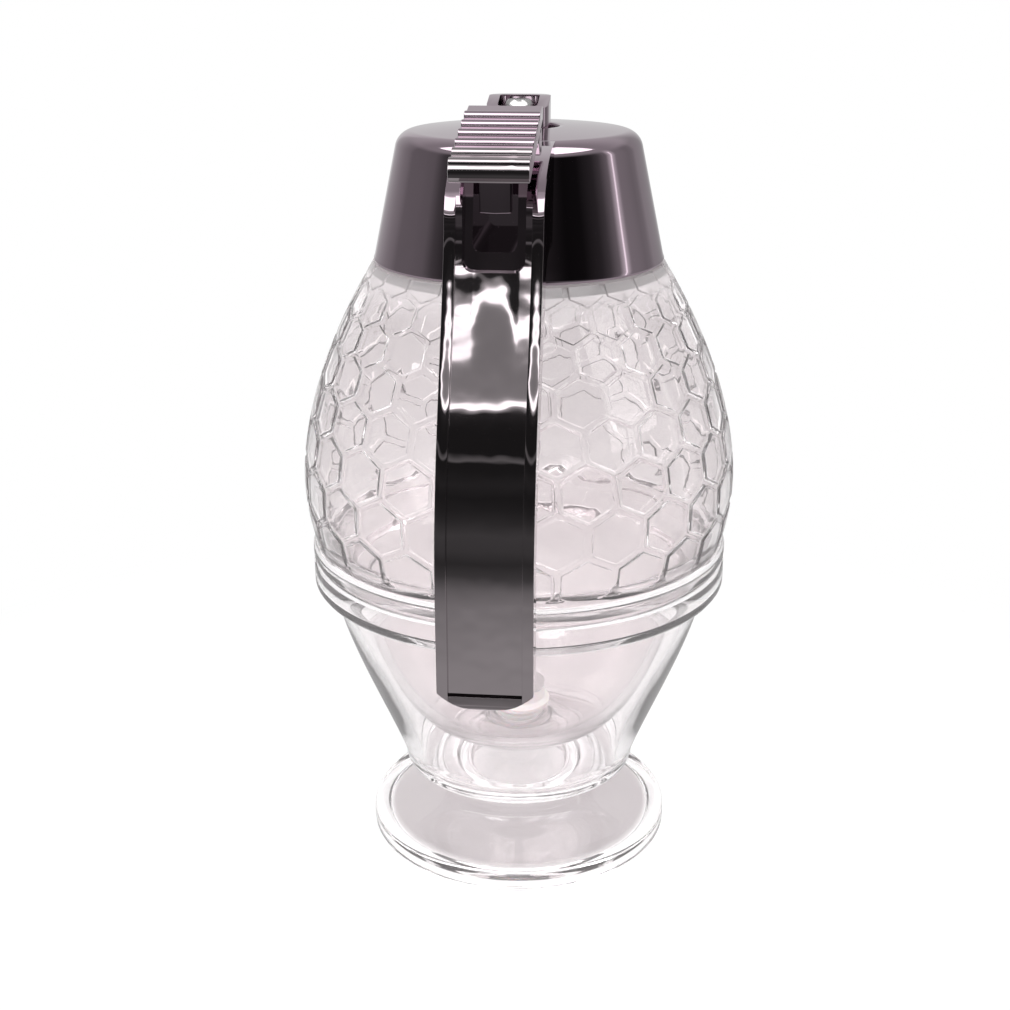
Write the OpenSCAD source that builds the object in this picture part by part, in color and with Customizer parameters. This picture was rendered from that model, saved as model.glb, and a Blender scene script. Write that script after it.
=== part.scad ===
// Honey dispenser: a clear egg-shaped jar with a pressed honeycomb pattern, standing in a
// clear footed cup. A plated cap with one long handle screws on the neck. A thumb lever on
// the cap lifts a steel rod, and the rod lifts a soft stopper out of the outlet in the
// bottom of the jar. A coil spring inside the cap shuts it again.
//
// The origin is the centre of the ring that the foot stands on. +Z is up, and the handle is at -Y.

/* [Stand] */
// Radius of the foot
foot_r = 29.3; // [26:0.1:34]
// Height of the foot's upright edge
foot_edge_h = 3.4; // [2.5:0.1:5]
// Radius of the narrow stem between foot and cup
stem_r = 15; // [11:0.5:18]
// Height of the narrowest place of the stem
stem_z = 9.5; // [8:0.1:11]
// Outer radius of the cup at its base
cup_base_r = 22.6; // [20:0.1:24]
// Height of the cup's base edge
cup_base_z = 14.6; // [13.5:0.1:15.2]
// How far the rim band lies inside the jar's largest radius
rim_inset = 1; // [0.5:0.1:2]
// How far the cup steps in under its rim band
cup_step = 3.4; // [3:0.1:4.2]
// Wall of the rim band
rim_wall = 2.5; // [2:0.1:3]
// Height of the rim's top face
rim_z = 61.5; // [58:0.1:64]
// Height of the rim band
rim_band_h = 8.5; // [6:0.1:10]
// Wall of the cup
cup_wall = 1.8; // [1.4:0.1:2.2]
// Width of the ring that the foot stands on
foot_ring_w = 2.6; // [2:0.1:4]
// Depth of the recess under the foot
foot_recess_h = 1.4; // [1:0.1:1.8]

/* [Jar] */
// Largest outer radius of the jar
belly_r = 40; // [39:0.1:42]
// Height of the largest radius
belly_z = 74; // [72:0.5:78]
// Outer radius of the jar under the cap
collar_r = 26.1; // [25.5:0.1:27]
// Height of the shoulder under the cap
collar_z = 113.5; // [110:0.1:118]
// How much the jar draws in from its belly down to its seat on the rim
seat_draw = 1.9; // [1:0.1:2.5]
// Wall of the jar
jar_wall = 1.8; // [1.4:0.1:2.2]
// Outer radius of the neck
neck_r = 19; // [18:0.1:19.4]
// Height of the neck above the shoulder
neck_h = 10.5; // [9:0.1:11.5]
// Wall of the neck
neck_wall = 1.8; // [1.5:0.1:2.4]
// Depth of the screw thread on the neck
thread_d = 0.8; // [0.5:0.05:0.9]
// Rise of the screw thread in one turn
thread_pitch = 3; // [2.6:0.1:3.4]
// Turns of the screw thread
thread_turns = 1.5; // [1:0.25:2]
// Height of the plug
plug_h = 4; // [3:0.1:5]
// Radius of the outlet hole
outlet_r = 4; // [3.4:0.1:4.6]
// Outer radius of the outlet spout
spout_r = 6.5; // [6:0.1:7.5]
// Height of the spout's lower edge above the floor
spout_z = 18.6; // [18.4:0.1:19.4]

/* [Cap] */
// Outer radius of the cap's lower edge
cap_base_r = 25.9; // [25.2:0.1:26.4]
// Outer radius of the cap's cone at the height of its top
cap_top_r = 21; // [20.6:0.1:21.6]
// Height of the cap from its lower edge to its upper edge
cap_h = 22.4; // [22:0.1:23]
// Radius of the rounded upper edge
cap_edge_r = 3.3; // [2.6:0.1:3.6]
// Rise of the domed top over its edge
dome_h = 0.8; // [0.4:0.1:1]
// Wall of the cap
cap_wall = 1.8; // [1.4:0.1:2]
// Radius of the round hole in the domed top
dome_hole_r = 7; // [6.8:0.1:8]

/* [Handle] */
// How far the handle's curves hang below the cap's upper edge
handle_drop = 1.8; // [1.4:0.1:2.4]
// Distance of the handle's shoulder from the jar's axis
shoulder_y = 43.4; // [42.8:0.1:44]
// Width of the handle
handle_w = 15; // [13:0.5:17]
// Thickness of the handle
handle_t = 5.4; // [4.5:0.1:6.5]
// Reach of the handle's outer face from the jar's axis
handle_reach = 60.5; // [59:0.5:64]
// Height of the handle's lower end
handle_end_z = 54.5; // [50:0.5:60]
// Width of the raised borders
border_w = 1.6; // [1.2:0.1:2]
// Depth of the panel between the borders
border_d = 0.6; // [0.3:0.1:0.9]
// Width of the slot in the handle's top
slot_w = 6.8; // [6.2:0.1:7.6]
// Height of the slot's floor
slot_z = 122.4; // [121:0.1:123.4]
// Distance of the slot's back wall from the jar's axis
slot_back_y = 30; // [29.4:0.1:31]

/* [Lever] */
// Distance of the lever's pivot from the jar's axis
pivot_y = 18; // [17:0.1:19]
// Height of the lever's pivot
pivot_z = 138.4; // [138.3:0.1:138.8]
// Radius of the pivot pin
pivot_pin_r = 1; // [0.9:0.05:1.2]
// Width of the lever's arm
arm_w = 5.4; // [5:0.1:6]
// Width of the thumb pad
pad_w = 11.8; // [11:0.1:13]
// Distance of the pad's inner end from the jar's axis
pad_in_y = 24; // [23.4:0.1:24.8]
// Distance of the pad's outer end from the jar's axis
pad_out_y = 49.5; // [48:0.1:51]
// Height of the pad's inner end
pad_in_z = 142.3; // [142:0.1:142.8]
// Height of the pad's outer end
pad_out_z = 136.1; // [135.9:0.1:136.6]
// Length of the pad's plain inner end
pad_land = 4.6; // [3:0.1:6]
// Number of grip ribs on the pad
rib_count = 6; // [4:1:7]
// Height of the grip ribs
rib_h = 0.9; // [0.5:0.1:1.2]
// Depth of the lip at the pad's outer end
lip_h = 2.4; // [2.3:0.1:3]
// Width of the rod's socket at the end of the arm
socket_w = 10.7; // [10.4:0.1:11]
// Wall of the rod's socket
socket_wall = 1.9; // [1.6:0.1:2]
// Height of the socket's floor
socket_floor_z = 136; // [135.8:0.1:136.4]

/* [Rod and spring] */
// Radius of the pull rod
rod_r = 1.5; // [1.3:0.05:1.6]
// Radius of the rod's round head
head_r = 2.9; // [2.6:0.1:3]
// Wire diameter of the return spring
wire_d = 0.8; // [0.6:0.05:0.9]
// Mean radius of the return spring
coil_r = 3.6; // [3.3:0.1:3.7]
// Curls of the return spring
coil_turns = 6; // [5:1:7]
// Height of the return spring with the valve shut
spring_h = 12.4; // [11:0.1:13]
// Outer radius of the spring well
well_r = 6.6; // [6.2:0.1:7]
// Wall of the spring well
well_wall = 1.6; // [1.3:0.1:1.8]

/* [Stopper] */
// Largest radius of the stopper
stopper_r = 6.2; // [5.6:0.1:7]
// Height of the stopper
stopper_h = 8; // [6:0.1:9]
// Rise of the conical seat in the outlet
seat_h = 2.6; // [2:0.1:3]

/* [Clearance] */
// Gap between pieces that lift or turn apart
lift_gap = 0.2; // [0.1:0.05:0.3]
// Radial gap of a running fit
run_gap = 0.05; // [0.02:0.01:0.09]
// Radial gap of a pushed-in piece
push_gap = 0.02; // [0.01:0.01:0.04]
// Gap between the jar's plug and the rim band
plug_gap = 0.5; // [0.3:0.1:0.8]

/* [Hidden] */
$fn = 96;

cut_overlap = 0.01;
curve_steps = 12;

// Radii that follow from the jar's largest radius
rim_r = belly_r - rim_inset;
cup_top_r = rim_r - cup_step;
rim_in_r = rim_r - rim_wall;
plug_r = rim_in_r - plug_gap;

// Heights that follow from the sizes above
neck_top_z = collar_z + neck_h;
cap_low_z = collar_z + lift_gap + 0.1;
cap_edge_z = cap_low_z + cap_h;
dome_top_z = cap_edge_z + dome_h;
bar_z = cap_edge_z - handle_drop;
gasket_h = 1.2;
plate_z = neck_top_z + lift_gap + gasket_h;
plate_h = 1.8;
jar_low_z = spout_z + 2.2;
seat_z = spout_z + 1.4;
seat_top_r = outlet_r + seat_h * 0.75;

// Rounded upper edge of the cap: slope of the cone, centre of the round, and where the dome takes over
cone_deg = atan2(cap_base_r - cap_top_r, cap_h);
edge_z = cap_edge_z - cap_edge_r;
edge_c = [cap_r(edge_z) - cap_edge_r / cos(cone_deg), edge_z];
edge_end = 90 - atan2(2 * dome_h, edge_c[0]);

// Stack on the rod, from the spring well's floor up
well_low_z = plate_z - 15;
well_floor_h = 4;
clip_h = 0.6;
clip_gap = 0.1;
washer_h = 0.6;
well_floor_z = well_low_z + well_floor_h;
spring_clip_z = well_floor_z + 0.9;
spring_low_z = spring_clip_z + clip_h + washer_h;
spring_top_z = spring_low_z + spring_h;
well_top_z = spring_top_z + 1.2;
cover_flange_h = 1;

// One point of a cubic curve through a and d, drawn towards b and c
function bend_at(a, b, c, d, t) =
    pow(1 - t, 3) * a + 3 * t * pow(1 - t, 2) * b + 3 * t * t * (1 - t) * c + pow(t, 3) * d;

// The points of such a curve, from a to d
function bend(a, b, c, d, n = curve_steps) = [for (i = [0:n]) bend_at(a, b, c, d, i / n)];

// The points of an arc about a centre, between two angles
function arc(c, r, a0, a1, n = 8) =
    [for (i = [0:n]) c + r * [cos(a0 + (a1 - a0) * i / n), sin(a0 + (a1 - a0) * i / n)]];

function reversed(p) = [for (i = [len(p) - 1:-1:0]) p[i]];

// Turns a profile of radius and height once round the axis
module turned(points) {
    rotate_extrude() polygon(points);
}

// A closed skin over rings of points, each with as many points, in triangles
module sweep(rings) {
    sides = len(rings[0]);
    last = (len(rings) - 1) * sides;
    faces = concat(
        [[for (k = [sides - 1:-1:0]) k]],
        [for (i = [0:len(rings) - 2], k = [0:sides - 1])
            let (a = i * sides + k, b = i * sides + (k + 1) % sides)
                each [[b, b + sides, a], [b + sides, a + sides, a]]],
        [[for (k = [0:sides - 1]) last + k]]);
    polyhedron(points = [for (r = rings) each r], faces = faces);
}

// A round washer or ring with a hole
module ring(z, h, r_out, r_in) {
    translate([0, 0, z]) difference() {
        cylinder(h = h, r = r_out);
        translate([0, 0, -1]) cylinder(h = h + 2, r = r_in);
    }
}

// ---------------------------------------------------------------- stand
function cup_curve(in) =
    bend([cup_base_r - in, cup_base_z + 1.8 + in], [cup_base_r + 3.4 - in, cup_base_z + 12 + in],
         [cup_top_r - 1.8 - in, rim_z - 20], [cup_top_r - in, rim_z - rim_band_h - 0.6]);

module stand() {
    cone_r = foot_r - 2.9;
    recess_r = foot_r - 0.5 - foot_ring_w;
    cavity_r = stem_r - 4;
    outside = concat(
        [[0, stem_z + 1], [cavity_r - 3, stem_z + 1], [cavity_r, stem_z - 1.6]],
        bend([cavity_r + 0.4, stem_z - 3], [cavity_r + 2, foot_edge_h + 0.6],
             [recess_r - 8, foot_recess_h + 0.3], [recess_r - 2, foot_recess_h], 6),
        [[recess_r, foot_recess_h - 0.3], [recess_r, 0], [foot_r - 0.5, 0], [foot_r, 0.5],
         [foot_r, foot_edge_h - 0.5]],
        arc([foot_r - 0.9, foot_edge_h - 0.5], 0.9, 0, 90, 4),
        [[cone_r + 1.2, foot_edge_h + 0.4], [cone_r, foot_edge_h - 0.2]],
        bend([cone_r - 0.6, foot_edge_h - 0.1], [stem_r + 4, foot_edge_h + 1.6],
             [stem_r + 0.2, stem_z - 3], [stem_r, stem_z]),
        bend([stem_r, stem_z + 0.6], [stem_r + 0.2, stem_z + 3],
             [stem_r + 2, cup_base_z - 0.8], [cup_base_r - 1.6, cup_base_z - 0.2], 6),
        arc([cup_base_r - 1, cup_base_z + 0.9], 1, -90, 0, 4),
        cup_curve(0),
        [[rim_r - 1.4, rim_z - rim_band_h], [rim_r - 0.5, rim_z - rim_band_h + 0.3],
         [rim_r, rim_z - rim_band_h + 1], [rim_r, rim_z - 3.4], [rim_r - 0.5, rim_z - 2.9],
         [rim_r - 0.5, rim_z - 2.5], [rim_r, rim_z - 2], [rim_r, rim_z - 0.6],
         [rim_r - 0.6, rim_z]]);
    inside = concat(
        [[rim_in_r + 0.4, rim_z], [rim_in_r, rim_z - 0.4], [rim_in_r, rim_z - rim_band_h + 1.4]],
        reversed(cup_curve(cup_wall)),
        arc([cup_base_r - cup_wall - 2, cup_base_z + 1.8 + cup_wall], 2, 0, -90, 4),
        [[0, cup_base_z + cup_wall - 0.2]]);
    color("whitesmoke", 0.35) turned(concat(outside, inside));
}

// ---------------------------------------------------------------- jar
// Outer radius of the jar at a height between its seat and its shoulder
function jar_r(z) = z > belly_z
    ? belly_r - (belly_r - collar_r) * pow((z - belly_z) / (collar_z - belly_z), 1.77)
    : belly_r - seat_draw * pow((belly_z - z) / (belly_z - rim_z), 2);

function jar_side(in, z0, z1, n = 20) =
    [for (i = [0:n]) let (z = z0 + (z1 - z0) * i / n) [jar_r(z) - in, z]];

// The rounded lower part that hangs in the stand
function jar_bowl(in) =
    bend([spout_r + 2.6 - in / 4, jar_low_z + in], [25 - in, jar_low_z + 3 + in],
         [plug_r - 6.4 - in, rim_z - 22], [plug_r - 5.2 - in, rim_z - plug_h - 3.4]);

module jar() {
    seat = rim_z + 0.1;
    bore_r = neck_r - neck_wall;
    outside = concat(
        [[outlet_r, spout_z], [spout_r - 0.5, spout_z], [spout_r, spout_z + 0.5],
         [spout_r, jar_low_z - 0.6], [spout_r + 0.8, jar_low_z]],
        jar_bowl(0),
        [[plug_r - 0.6, rim_z - plug_h], [plug_r, rim_z - plug_h + 0.6], [plug_r, seat]],
        jar_side(0, seat, collar_z - 0.6),
        [[collar_r - 0.8, collar_z], [neck_r, collar_z], [neck_r, neck_top_z - 0.5],
         [neck_r - 0.5, neck_top_z]]);
    inside = concat(
        [[bore_r + 0.5, neck_top_z], [bore_r, neck_top_z - 0.5], [bore_r, collar_z - 0.4],
         [bore_r + 1.2, collar_z - jar_wall]],
        reversed(jar_side(jar_wall, seat + jar_wall + 0.6, collar_z - 3)),
        [[plug_r - jar_wall, seat], [plug_r - jar_wall, rim_z - plug_h + 1.6]],
        reversed(jar_bowl(jar_wall)),
        [[seat_top_r, seat_z + seat_h], [outlet_r, seat_z]]);
    color("whitesmoke", 0.35) {
        turned(concat(outside, inside));
        thread_rib();
    }
}

// Rib of the screw thread on the neck: a wedge swept up a helix, shallow at both ends
module thread_rib() {
    steps = 24;
    count = round(thread_turns * steps);
    low_z = collar_z + 2.6;
    foot_w = 1.8;
    crest_w = 0.6;
    sink = 0.3;
    sweep([for (i = [0:count])
        let (a = i * 360 / steps, z = low_z + thread_pitch * i / steps,
             d = thread_d * min(1, 0.2 + min(i, count - i) / 4))
            [for (c = [[-sink, -foot_w / 2], [-sink, foot_w / 2], [d, crest_w / 2], [d, -crest_w / 2]])
                [(neck_r + c[0]) * cos(a), (neck_r + c[0]) * sin(a), z + c[1]]]]);
}

// ---------------------------------------------------------------- cap
module neck_gasket() {
    color("ghostwhite") ring(plate_z - gasket_h, gasket_h - 0.05, neck_r + 0.6, neck_r - neck_wall);
}

// Outer radius of the cap's cone at a height
function cap_r(z) = cap_base_r - (cap_base_r - cap_top_r) * (z - cap_low_z) / cap_h;

// Height of the domed top at a distance from the axis
function dome_z(r) = dome_top_z - dome_h * pow(r / edge_c[0], 2);

function dome_line(r0, r1, drop, n = 8) =
    [for (i = [0:n]) let (r = r0 + (r1 - r0) * i / n) [r, dome_z(r) - drop]];

rib_in_r = 10;
rib_w = 1.4;
rib_total = 6;

module cap_skin() {
    turned(concat(
        [[cap_base_r - cap_wall, cap_low_z], [cap_base_r - 0.4, cap_low_z], [cap_base_r, cap_low_z + 0.4]],
        arc(edge_c, cap_edge_r, cone_deg, edge_end, 8),
        dome_line(edge_c[0], dome_hole_r + 0.3, 0),
        [[dome_hole_r, dome_z(dome_hole_r) - 0.3]],
        dome_line(dome_hole_r, edge_c[0], cap_wall),
        arc(edge_c, cap_edge_r - cap_wall, 80, cone_deg, 4)));
}

// Inner ribs that bear on the liner's plate
module cap_ribs() {
    rib_out_r = edge_c[0] + 0.6;
    for (i = [0:rib_total - 1]) rotate([0, 0, (i + 0.5) * 360 / rib_total]) across(rib_w)
        polygon(concat([[rib_in_r, plate_z + plate_h], [rib_out_r, plate_z + plate_h]],
                       dome_line(rib_out_r, rib_in_r, cap_wall - 0.3)));
}

// Side outline of the handle, as distance from the axis and height
function handle_outer() = concat(
    bend([edge_c[0], cap_edge_z - 0.05], [30, cap_edge_z - 0.2],
         [shoulder_y, cap_edge_z - 1.4], [shoulder_y, bar_z - 8.8], 10),
    bend([shoulder_y + 0.8, bar_z - 11.5], [shoulder_y + 7.1, bar_z - 30],
         [handle_reach, bar_z - 42], [handle_reach, bar_z - 62], 10),
    [[handle_reach, handle_end_z + 1.6]],
    arc([handle_reach - 1.6, handle_end_z + 1.6], 1.6, 0, -90, 4));

function handle_inner() = concat(
    arc([handle_reach - handle_t + 1.2, handle_end_z + 1.2], 1.2, -90, -180, 4),
    bend([handle_reach - handle_t, bar_z - 60], [handle_reach - handle_t, bar_z - 46],
         [shoulder_y + 0.6, bar_z - 30], [shoulder_y - 4.4, bar_z - 19], 10),
    bend([shoulder_y - 5.8, bar_z - 16.4], [shoulder_y - 8, bar_z - 13.4],
         [31, bar_z - 13.4], [cap_r(bar_z - 14) - 1, bar_z - 14], 6),
    [[edge_c[0], bar_z - 14]]);

// Extrudes a side outline of distance and height across the width of the object
module across(w) {
    rotate([90, 0, -90]) linear_extrude(height = w, center = true) children();
}

// The handle's outline seen from the front, with its corners rounded
module handle_front() {
    end_r = 11;
    rotate([90, 0, 0]) linear_extrude(height = 140, center = true) difference() {
        translate([-handle_w / 2, handle_end_z - 5]) square([handle_w, cap_edge_z - handle_end_z + 10]);
        difference() {
            translate([-handle_w, handle_end_z - 10]) square([handle_w * 2, 10 + 2.9]);
            translate([0, handle_end_z + end_r]) circle(r = end_r);
        }
    }
}

module handle_bar() {
    difference() {
        intersection() {
            across(handle_w) polygon(concat(handle_outer(), handle_inner()));
            handle_front();
        }
        // Panel sunk between the borders
        across(handle_w - 2 * border_w) polygon(concat(
            [for (p = handle_outer())
                if (p[0] > shoulder_y + 0.2 && p[1] > handle_end_z + 4) p - [border_d, 0]],
            [[handle_reach - border_d, handle_end_z + 3.8], [handle_reach + 5, handle_end_z + 2.2],
             [handle_reach + 5, bar_z - 10]]));
        // Slot that the lever's leg moves in
        translate([-slot_w / 2, -handle_reach, slot_z])
            cube([slot_w, handle_reach - slot_back_y, cap_edge_z - slot_z + 5]);
        // Wider ledge round the mouth of the slot
        translate([-slot_w / 2 - 1.4, -handle_reach, slot_z - 2.6])
            cube([slot_w + 2.8, handle_reach - shoulder_y + 1.2, 11]);
    }
}

// Two lugs on the domed top that hold the pivot pin
module pivot_lugs() {
    lug_w = 2.2;
    lug_r = 2.3;
    for (s = [-1, 1]) translate([s * (arm_w / 2 + lift_gap + lug_w / 2), 0, 0]) {
        across(lug_w) difference() {
            union() {
                translate([pivot_y, pivot_z]) circle(r = lug_r);
                polygon([[pivot_y - lug_r - 1.4, dome_z(pivot_y - 4) - 1], [pivot_y - lug_r, pivot_z],
                         [pivot_y + lug_r, pivot_z], [pivot_y + lug_r + 1.4, cap_edge_z - 1]]);
            }
            translate([pivot_y, pivot_z]) circle(r = pivot_pin_r + push_gap);
        }
    }
}

// The hollow inside the cap's cone
module cap_room() {
    low_z = cap_low_z - 1;
    top_z = cap_edge_z - 3;
    translate([0, 0, low_z])
        cylinder(h = top_z - low_z, r1 = cap_r(low_z) - cap_wall, r2 = cap_r(top_z) - cap_wall);
    translate([0, 0, top_z - cut_overlap]) cylinder(h = cap_h, r = edge_c[0] - 1.3);
}

module cap_shell() {
    color("dimgray") {
        cap_skin();
        cap_ribs();
        pivot_lugs();
        difference() {
            handle_bar();
            cap_room();
        }
    }
}

module cap_liner() {
    skirt_in_r = neck_r + thread_d + lift_gap + 0.1;
    skirt_r = cap_r(plate_z) - cap_wall - 0.15;
    well_in_r = well_r - well_wall;
    bush_r = rod_r + 1.4;
    color("white") turned([
        [skirt_in_r, cap_low_z + 0.8], [skirt_r, cap_low_z + 0.8], [skirt_r, plate_z],
        [cap_r(plate_z + plate_h) - cap_wall - 0.3, plate_z + plate_h - 0.3],
        [cap_r(plate_z + plate_h) - cap_wall - 0.6, plate_z + plate_h],
        [well_r, plate_z + plate_h], [well_r, well_top_z], [well_in_r, well_top_z],
        [well_in_r, well_floor_z], [bush_r + 1.2, well_floor_z], [bush_r + push_gap, well_floor_z],
        [bush_r + push_gap, well_low_z + 0.8], [rod_r + 0.5, well_low_z + 0.8],
        [rod_r + 0.5, well_low_z], [well_r - 0.6, well_low_z], [well_r, well_low_z + 0.6],
        [well_r, plate_z], [skirt_in_r, plate_z]]);
}

module rod_guide_bush() {
    low = well_low_z + 2.1;
    color("ivory") ring(low, well_floor_z - low, rod_r + 1.4, rod_r + run_gap);
}

module rod_seal() {
    seal_d = 1.24;
    color("black") translate([0, 0, well_low_z + 0.8 + seal_d / 2 + 0.03])
        rotate_extrude() translate([rod_r + run_gap + seal_d / 2, 0]) circle(d = seal_d, $fn = 24);
}

module spring_cover() {
    bore_r = rod_r + 0.6;
    color("ivory") {
        ring(spring_top_z, well_top_z - spring_top_z, well_r - well_wall - push_gap, bore_r);
        ring(well_top_z, cover_flange_h, well_r, bore_r);
    }
}

// ---------------------------------------------------------------- lever
module lever_pivot_pin() {
    pin_l = arm_w + 2 * lift_gap + 4.4;
    color("silver") translate([-pin_l / 2, -pivot_y, pivot_z]) rotate([0, 90, 0])
        cylinder(h = pin_l, r = pivot_pin_r);
}

pad_slope = atan2(pad_in_z - pad_out_z, pad_out_y - pad_in_y);
pad_len = sqrt(pow(pad_out_y - pad_in_y, 2) + pow(pad_in_z - pad_out_z, 2));
pad_t = 2.2;
socket_top_z = socket_floor_z + 5.7;
socket_front_z = socket_floor_z + 4.2;
socket_bottom_z = socket_floor_z - 1.6;

// Height of the pad's upper face at a distance from the axis
function pad_z(y) = pad_in_z - (pad_in_z - pad_out_z) * (y - pad_in_y) / (pad_out_y - pad_in_y);

// The thumb pad: a sloping plate with ribs across it and a lip at its outer end
module pad() {
    rib_pitch = (pad_len - pad_land - 2 * rib_h) / (rib_count - 1);
    lip_y = pad_out_y + 0.6;
    lip_t = 1.5;
    across(pad_w) {
        polygon([[pad_in_y, pad_in_z], [pad_out_y, pad_out_z], [lip_y, pad_out_z - 0.6],
                 [lip_y, pad_out_z - lip_h + 0.4], [lip_y - 0.4, pad_out_z - lip_h],
                 [lip_y - lip_t, pad_out_z - lip_h], [lip_y - lip_t - 0.3, pad_out_z - pad_t],
                 [pad_in_y + 0.6, pad_in_z - pad_t]]);
        for (i = [0:rib_count - 1])
            translate([pad_in_y, pad_in_z]) rotate(-pad_slope)
                translate([pad_land + rib_h + i * rib_pitch, 0])
                circle(r = rib_h, $fn = 32);
    }
}

// The arm from the socket over the pivot to the pad
module arm() {
    hub_r = 1.9;
    arm_out_y = pad_in_y + 12;
    arm_out_z = pad_z(arm_out_y) - pad_t;
    difference() {
        across(arm_w) union() {
            translate([pivot_y, pivot_z]) circle(r = hub_r);
            polygon([[socket_w / 2 - 1, pivot_z - 0.6], [pivot_y, pivot_z - hub_r + 0.6],
                     [pad_in_y, pad_in_z - pad_t - 1.4], [arm_out_y, arm_out_z - 1.2],
                     [arm_out_y, arm_out_z + 0.4], [pad_in_y, pad_in_z - 0.4],
                     [pivot_y, socket_front_z], [socket_w / 2 - 1, socket_front_z]]);
        }
        across(arm_w * 2) translate([pivot_y, pivot_z]) circle(r = pivot_pin_r + run_gap + push_gap);
    }
}

// The leg under the pad that runs in the handle's slot
module leg() {
    leg_w = slot_w - 2;
    leg_y = 39.5;
    translate([0, -leg_y, slot_z + 5.6]) linear_extrude(height = 9)
        polygon([[-leg_w / 2, 1.4], [-leg_w / 2, -1.2], [0, -1.8], [leg_w / 2, -1.2], [leg_w / 2, 1.4]]);
}

// The open socket that carries the rod's head
module socket() {
    corner = 3;
    in_w = socket_w - 2 * socket_wall;
    difference() {
        translate([0, 0, socket_bottom_z]) linear_extrude(height = socket_top_z - socket_bottom_z)
            difference() {
                square([socket_w, socket_w], center = true);
                for (q = [0:3]) rotate([0, 0, q * 90])
                    translate([socket_w / 2 - corner, socket_w / 2 - corner]) difference() {
                        square([corner + 1, corner + 1]);
                        circle(r = corner);
                    }
            }
        translate([-in_w / 2, -in_w / 2, socket_floor_z]) cube([in_w, in_w, 10]);
        translate([0, 0, socket_bottom_z - 1]) cylinder(h = 5, r = rod_r + 0.9);
        // Rim that falls from the back wall to the front
        across(socket_w + 2) polygon([[-socket_w, socket_top_z + 5], [-socket_w, socket_top_z],
                                      [-2, socket_top_z], [4, socket_front_z], [socket_w, socket_front_z],
                                      [socket_w, socket_top_z + 5]]);
    }
}

module thumb_lever() {
    color("gray") {
        socket();
        arm();
        pad();
        leg();
    }
}

// ---------------------------------------------------------------- rod and spring
head_z = socket_floor_z + 0.15 + head_r;

module pull_rod() {
    low_z = stopper_low_z - tip_h - nut_h - 0.2;
    color("silver") translate([0, 0, low_z]) cylinder(h = head_z - low_z, r = rod_r);
}

module rod_head() {
    color("gainsboro") difference() {
        translate([0, 0, head_z]) sphere(r = head_r, $fn = 64);
        translate([0, 0, head_z + head_r * 0.75]) cylinder(h = 5, r = 5);
        translate([0, 0, head_z - head_r - 1]) cylinder(h = head_r + 1, r = rod_r + push_gap);
    }
}

clip_r = 3.1;
tip_h = 1.2;
nut_h = 1.2;
stopper_low_z = seat_z + lift_gap + 0.35;
stopper_top_z = stopper_low_z + stopper_h;

// Open retaining rings in the rod's two grooves
module rod_clips() {
    for (z = [spring_clip_z, stopper_top_z + 0.85]) color("silver") difference() {
        ring(z, clip_h - clip_gap, clip_r, rod_r + push_gap);
        translate([-rod_r * 0.8, 0, z - 1]) cube([rod_r * 1.6, clip_r + 1, 3]);
    }
}

module spring_washer() {
    washer_r = coil_r + wire_d / 2 + 0.4;
    color("silver") ring(spring_clip_z + clip_h, washer_h - 0.05, washer_r, rod_r + push_gap);
}

// Helix of the return spring, with both ends run out straight
coil_sides = 6;
coil_rings = 8;
coil_rise = (spring_h - wire_d - 0.1) / coil_turns;
function coil_point(i) = let (a = i * 360 / coil_rings)
    [coil_r * cos(a), coil_r * sin(a), spring_low_z + wire_d / 2 + 0.05 + coil_rise * i / coil_rings];
coil_last = coil_turns * coil_rings;
coil_path = concat([coil_point(0) - [0, wire_d, 0]], [for (i = [0:coil_last]) coil_point(i)],
                   [coil_point(coil_last) + [0, wire_d, 0]]);
echo(coil_least_gap = coil_rise - wire_d);

function unit(v) = v / norm(v);
function path_dir(p, i) = unit(p[min(i + 1, len(p) - 1)] - p[max(i - 1, 0)]);

// A round tube swept along a path that never runs upright
module tube(p, d, sides) {
    sweep([for (i = [0:len(p) - 1])
        let (t = path_dir(p, i), s = unit(cross([0, 0, 1], t)), u = cross(t, s))
            [for (k = [0:sides - 1]) p[i] + d / 2 * (s * cos(k * 360 / sides) + u * sin(k * 360 / sides))]]);
}

module return_spring() {
    color("lightsteelblue") tube(coil_path, wire_d, coil_sides);
}

// ---------------------------------------------------------------- stopper
module stopper_plate() {
    color("silver") ring(stopper_top_z, 0.8, stopper_r - 1, rod_r + push_gap);
}

// Soft plug: a cone that lies in the seat, under a thicker body with two sealing beads
module stopper() {
    in_r = rod_r + push_gap;
    tip_r = outlet_r - 0.35;
    cone_h = seat_h - 0.2;
    wide_r = tip_r + cone_h * 0.75;
    color("mintcream") turned([
        [in_r, stopper_low_z - tip_h], [tip_r - 0.5, stopper_low_z - tip_h],
        [tip_r - 0.1, stopper_low_z - tip_h + 0.6],
        [tip_r - 0.1, stopper_low_z - 0.1], [wide_r - 0.2, stopper_low_z + cone_h - 0.2],
        [wide_r, stopper_low_z + cone_h + 0.6],
        [stopper_r, stopper_low_z + cone_h + 1.6], [stopper_r, stopper_low_z + cone_h + 2.4],
        [stopper_r - 0.8, stopper_low_z + cone_h + 3.2], [stopper_r - 1.2, stopper_top_z],
        [in_r, stopper_top_z]]);
}

module stopper_nut() {
    color("silver") translate([0, 0, stopper_low_z - tip_h - nut_h]) difference() {
        cylinder(h = nut_h, r = 2.8, $fn = 6);
        translate([0, 0, -1]) cylinder(h = nut_h + 2, r = rod_r + push_gap);
    }
}

stand();
jar();
neck_gasket();
cap_shell();
cap_liner();
rod_guide_bush();
rod_seal();
spring_cover();
lever_pivot_pin();
thumb_lever();
pull_rod();
rod_head();
rod_clips();
spring_washer();
return_spring();
stopper_plate();
stopper();
stopper_nut();
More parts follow.
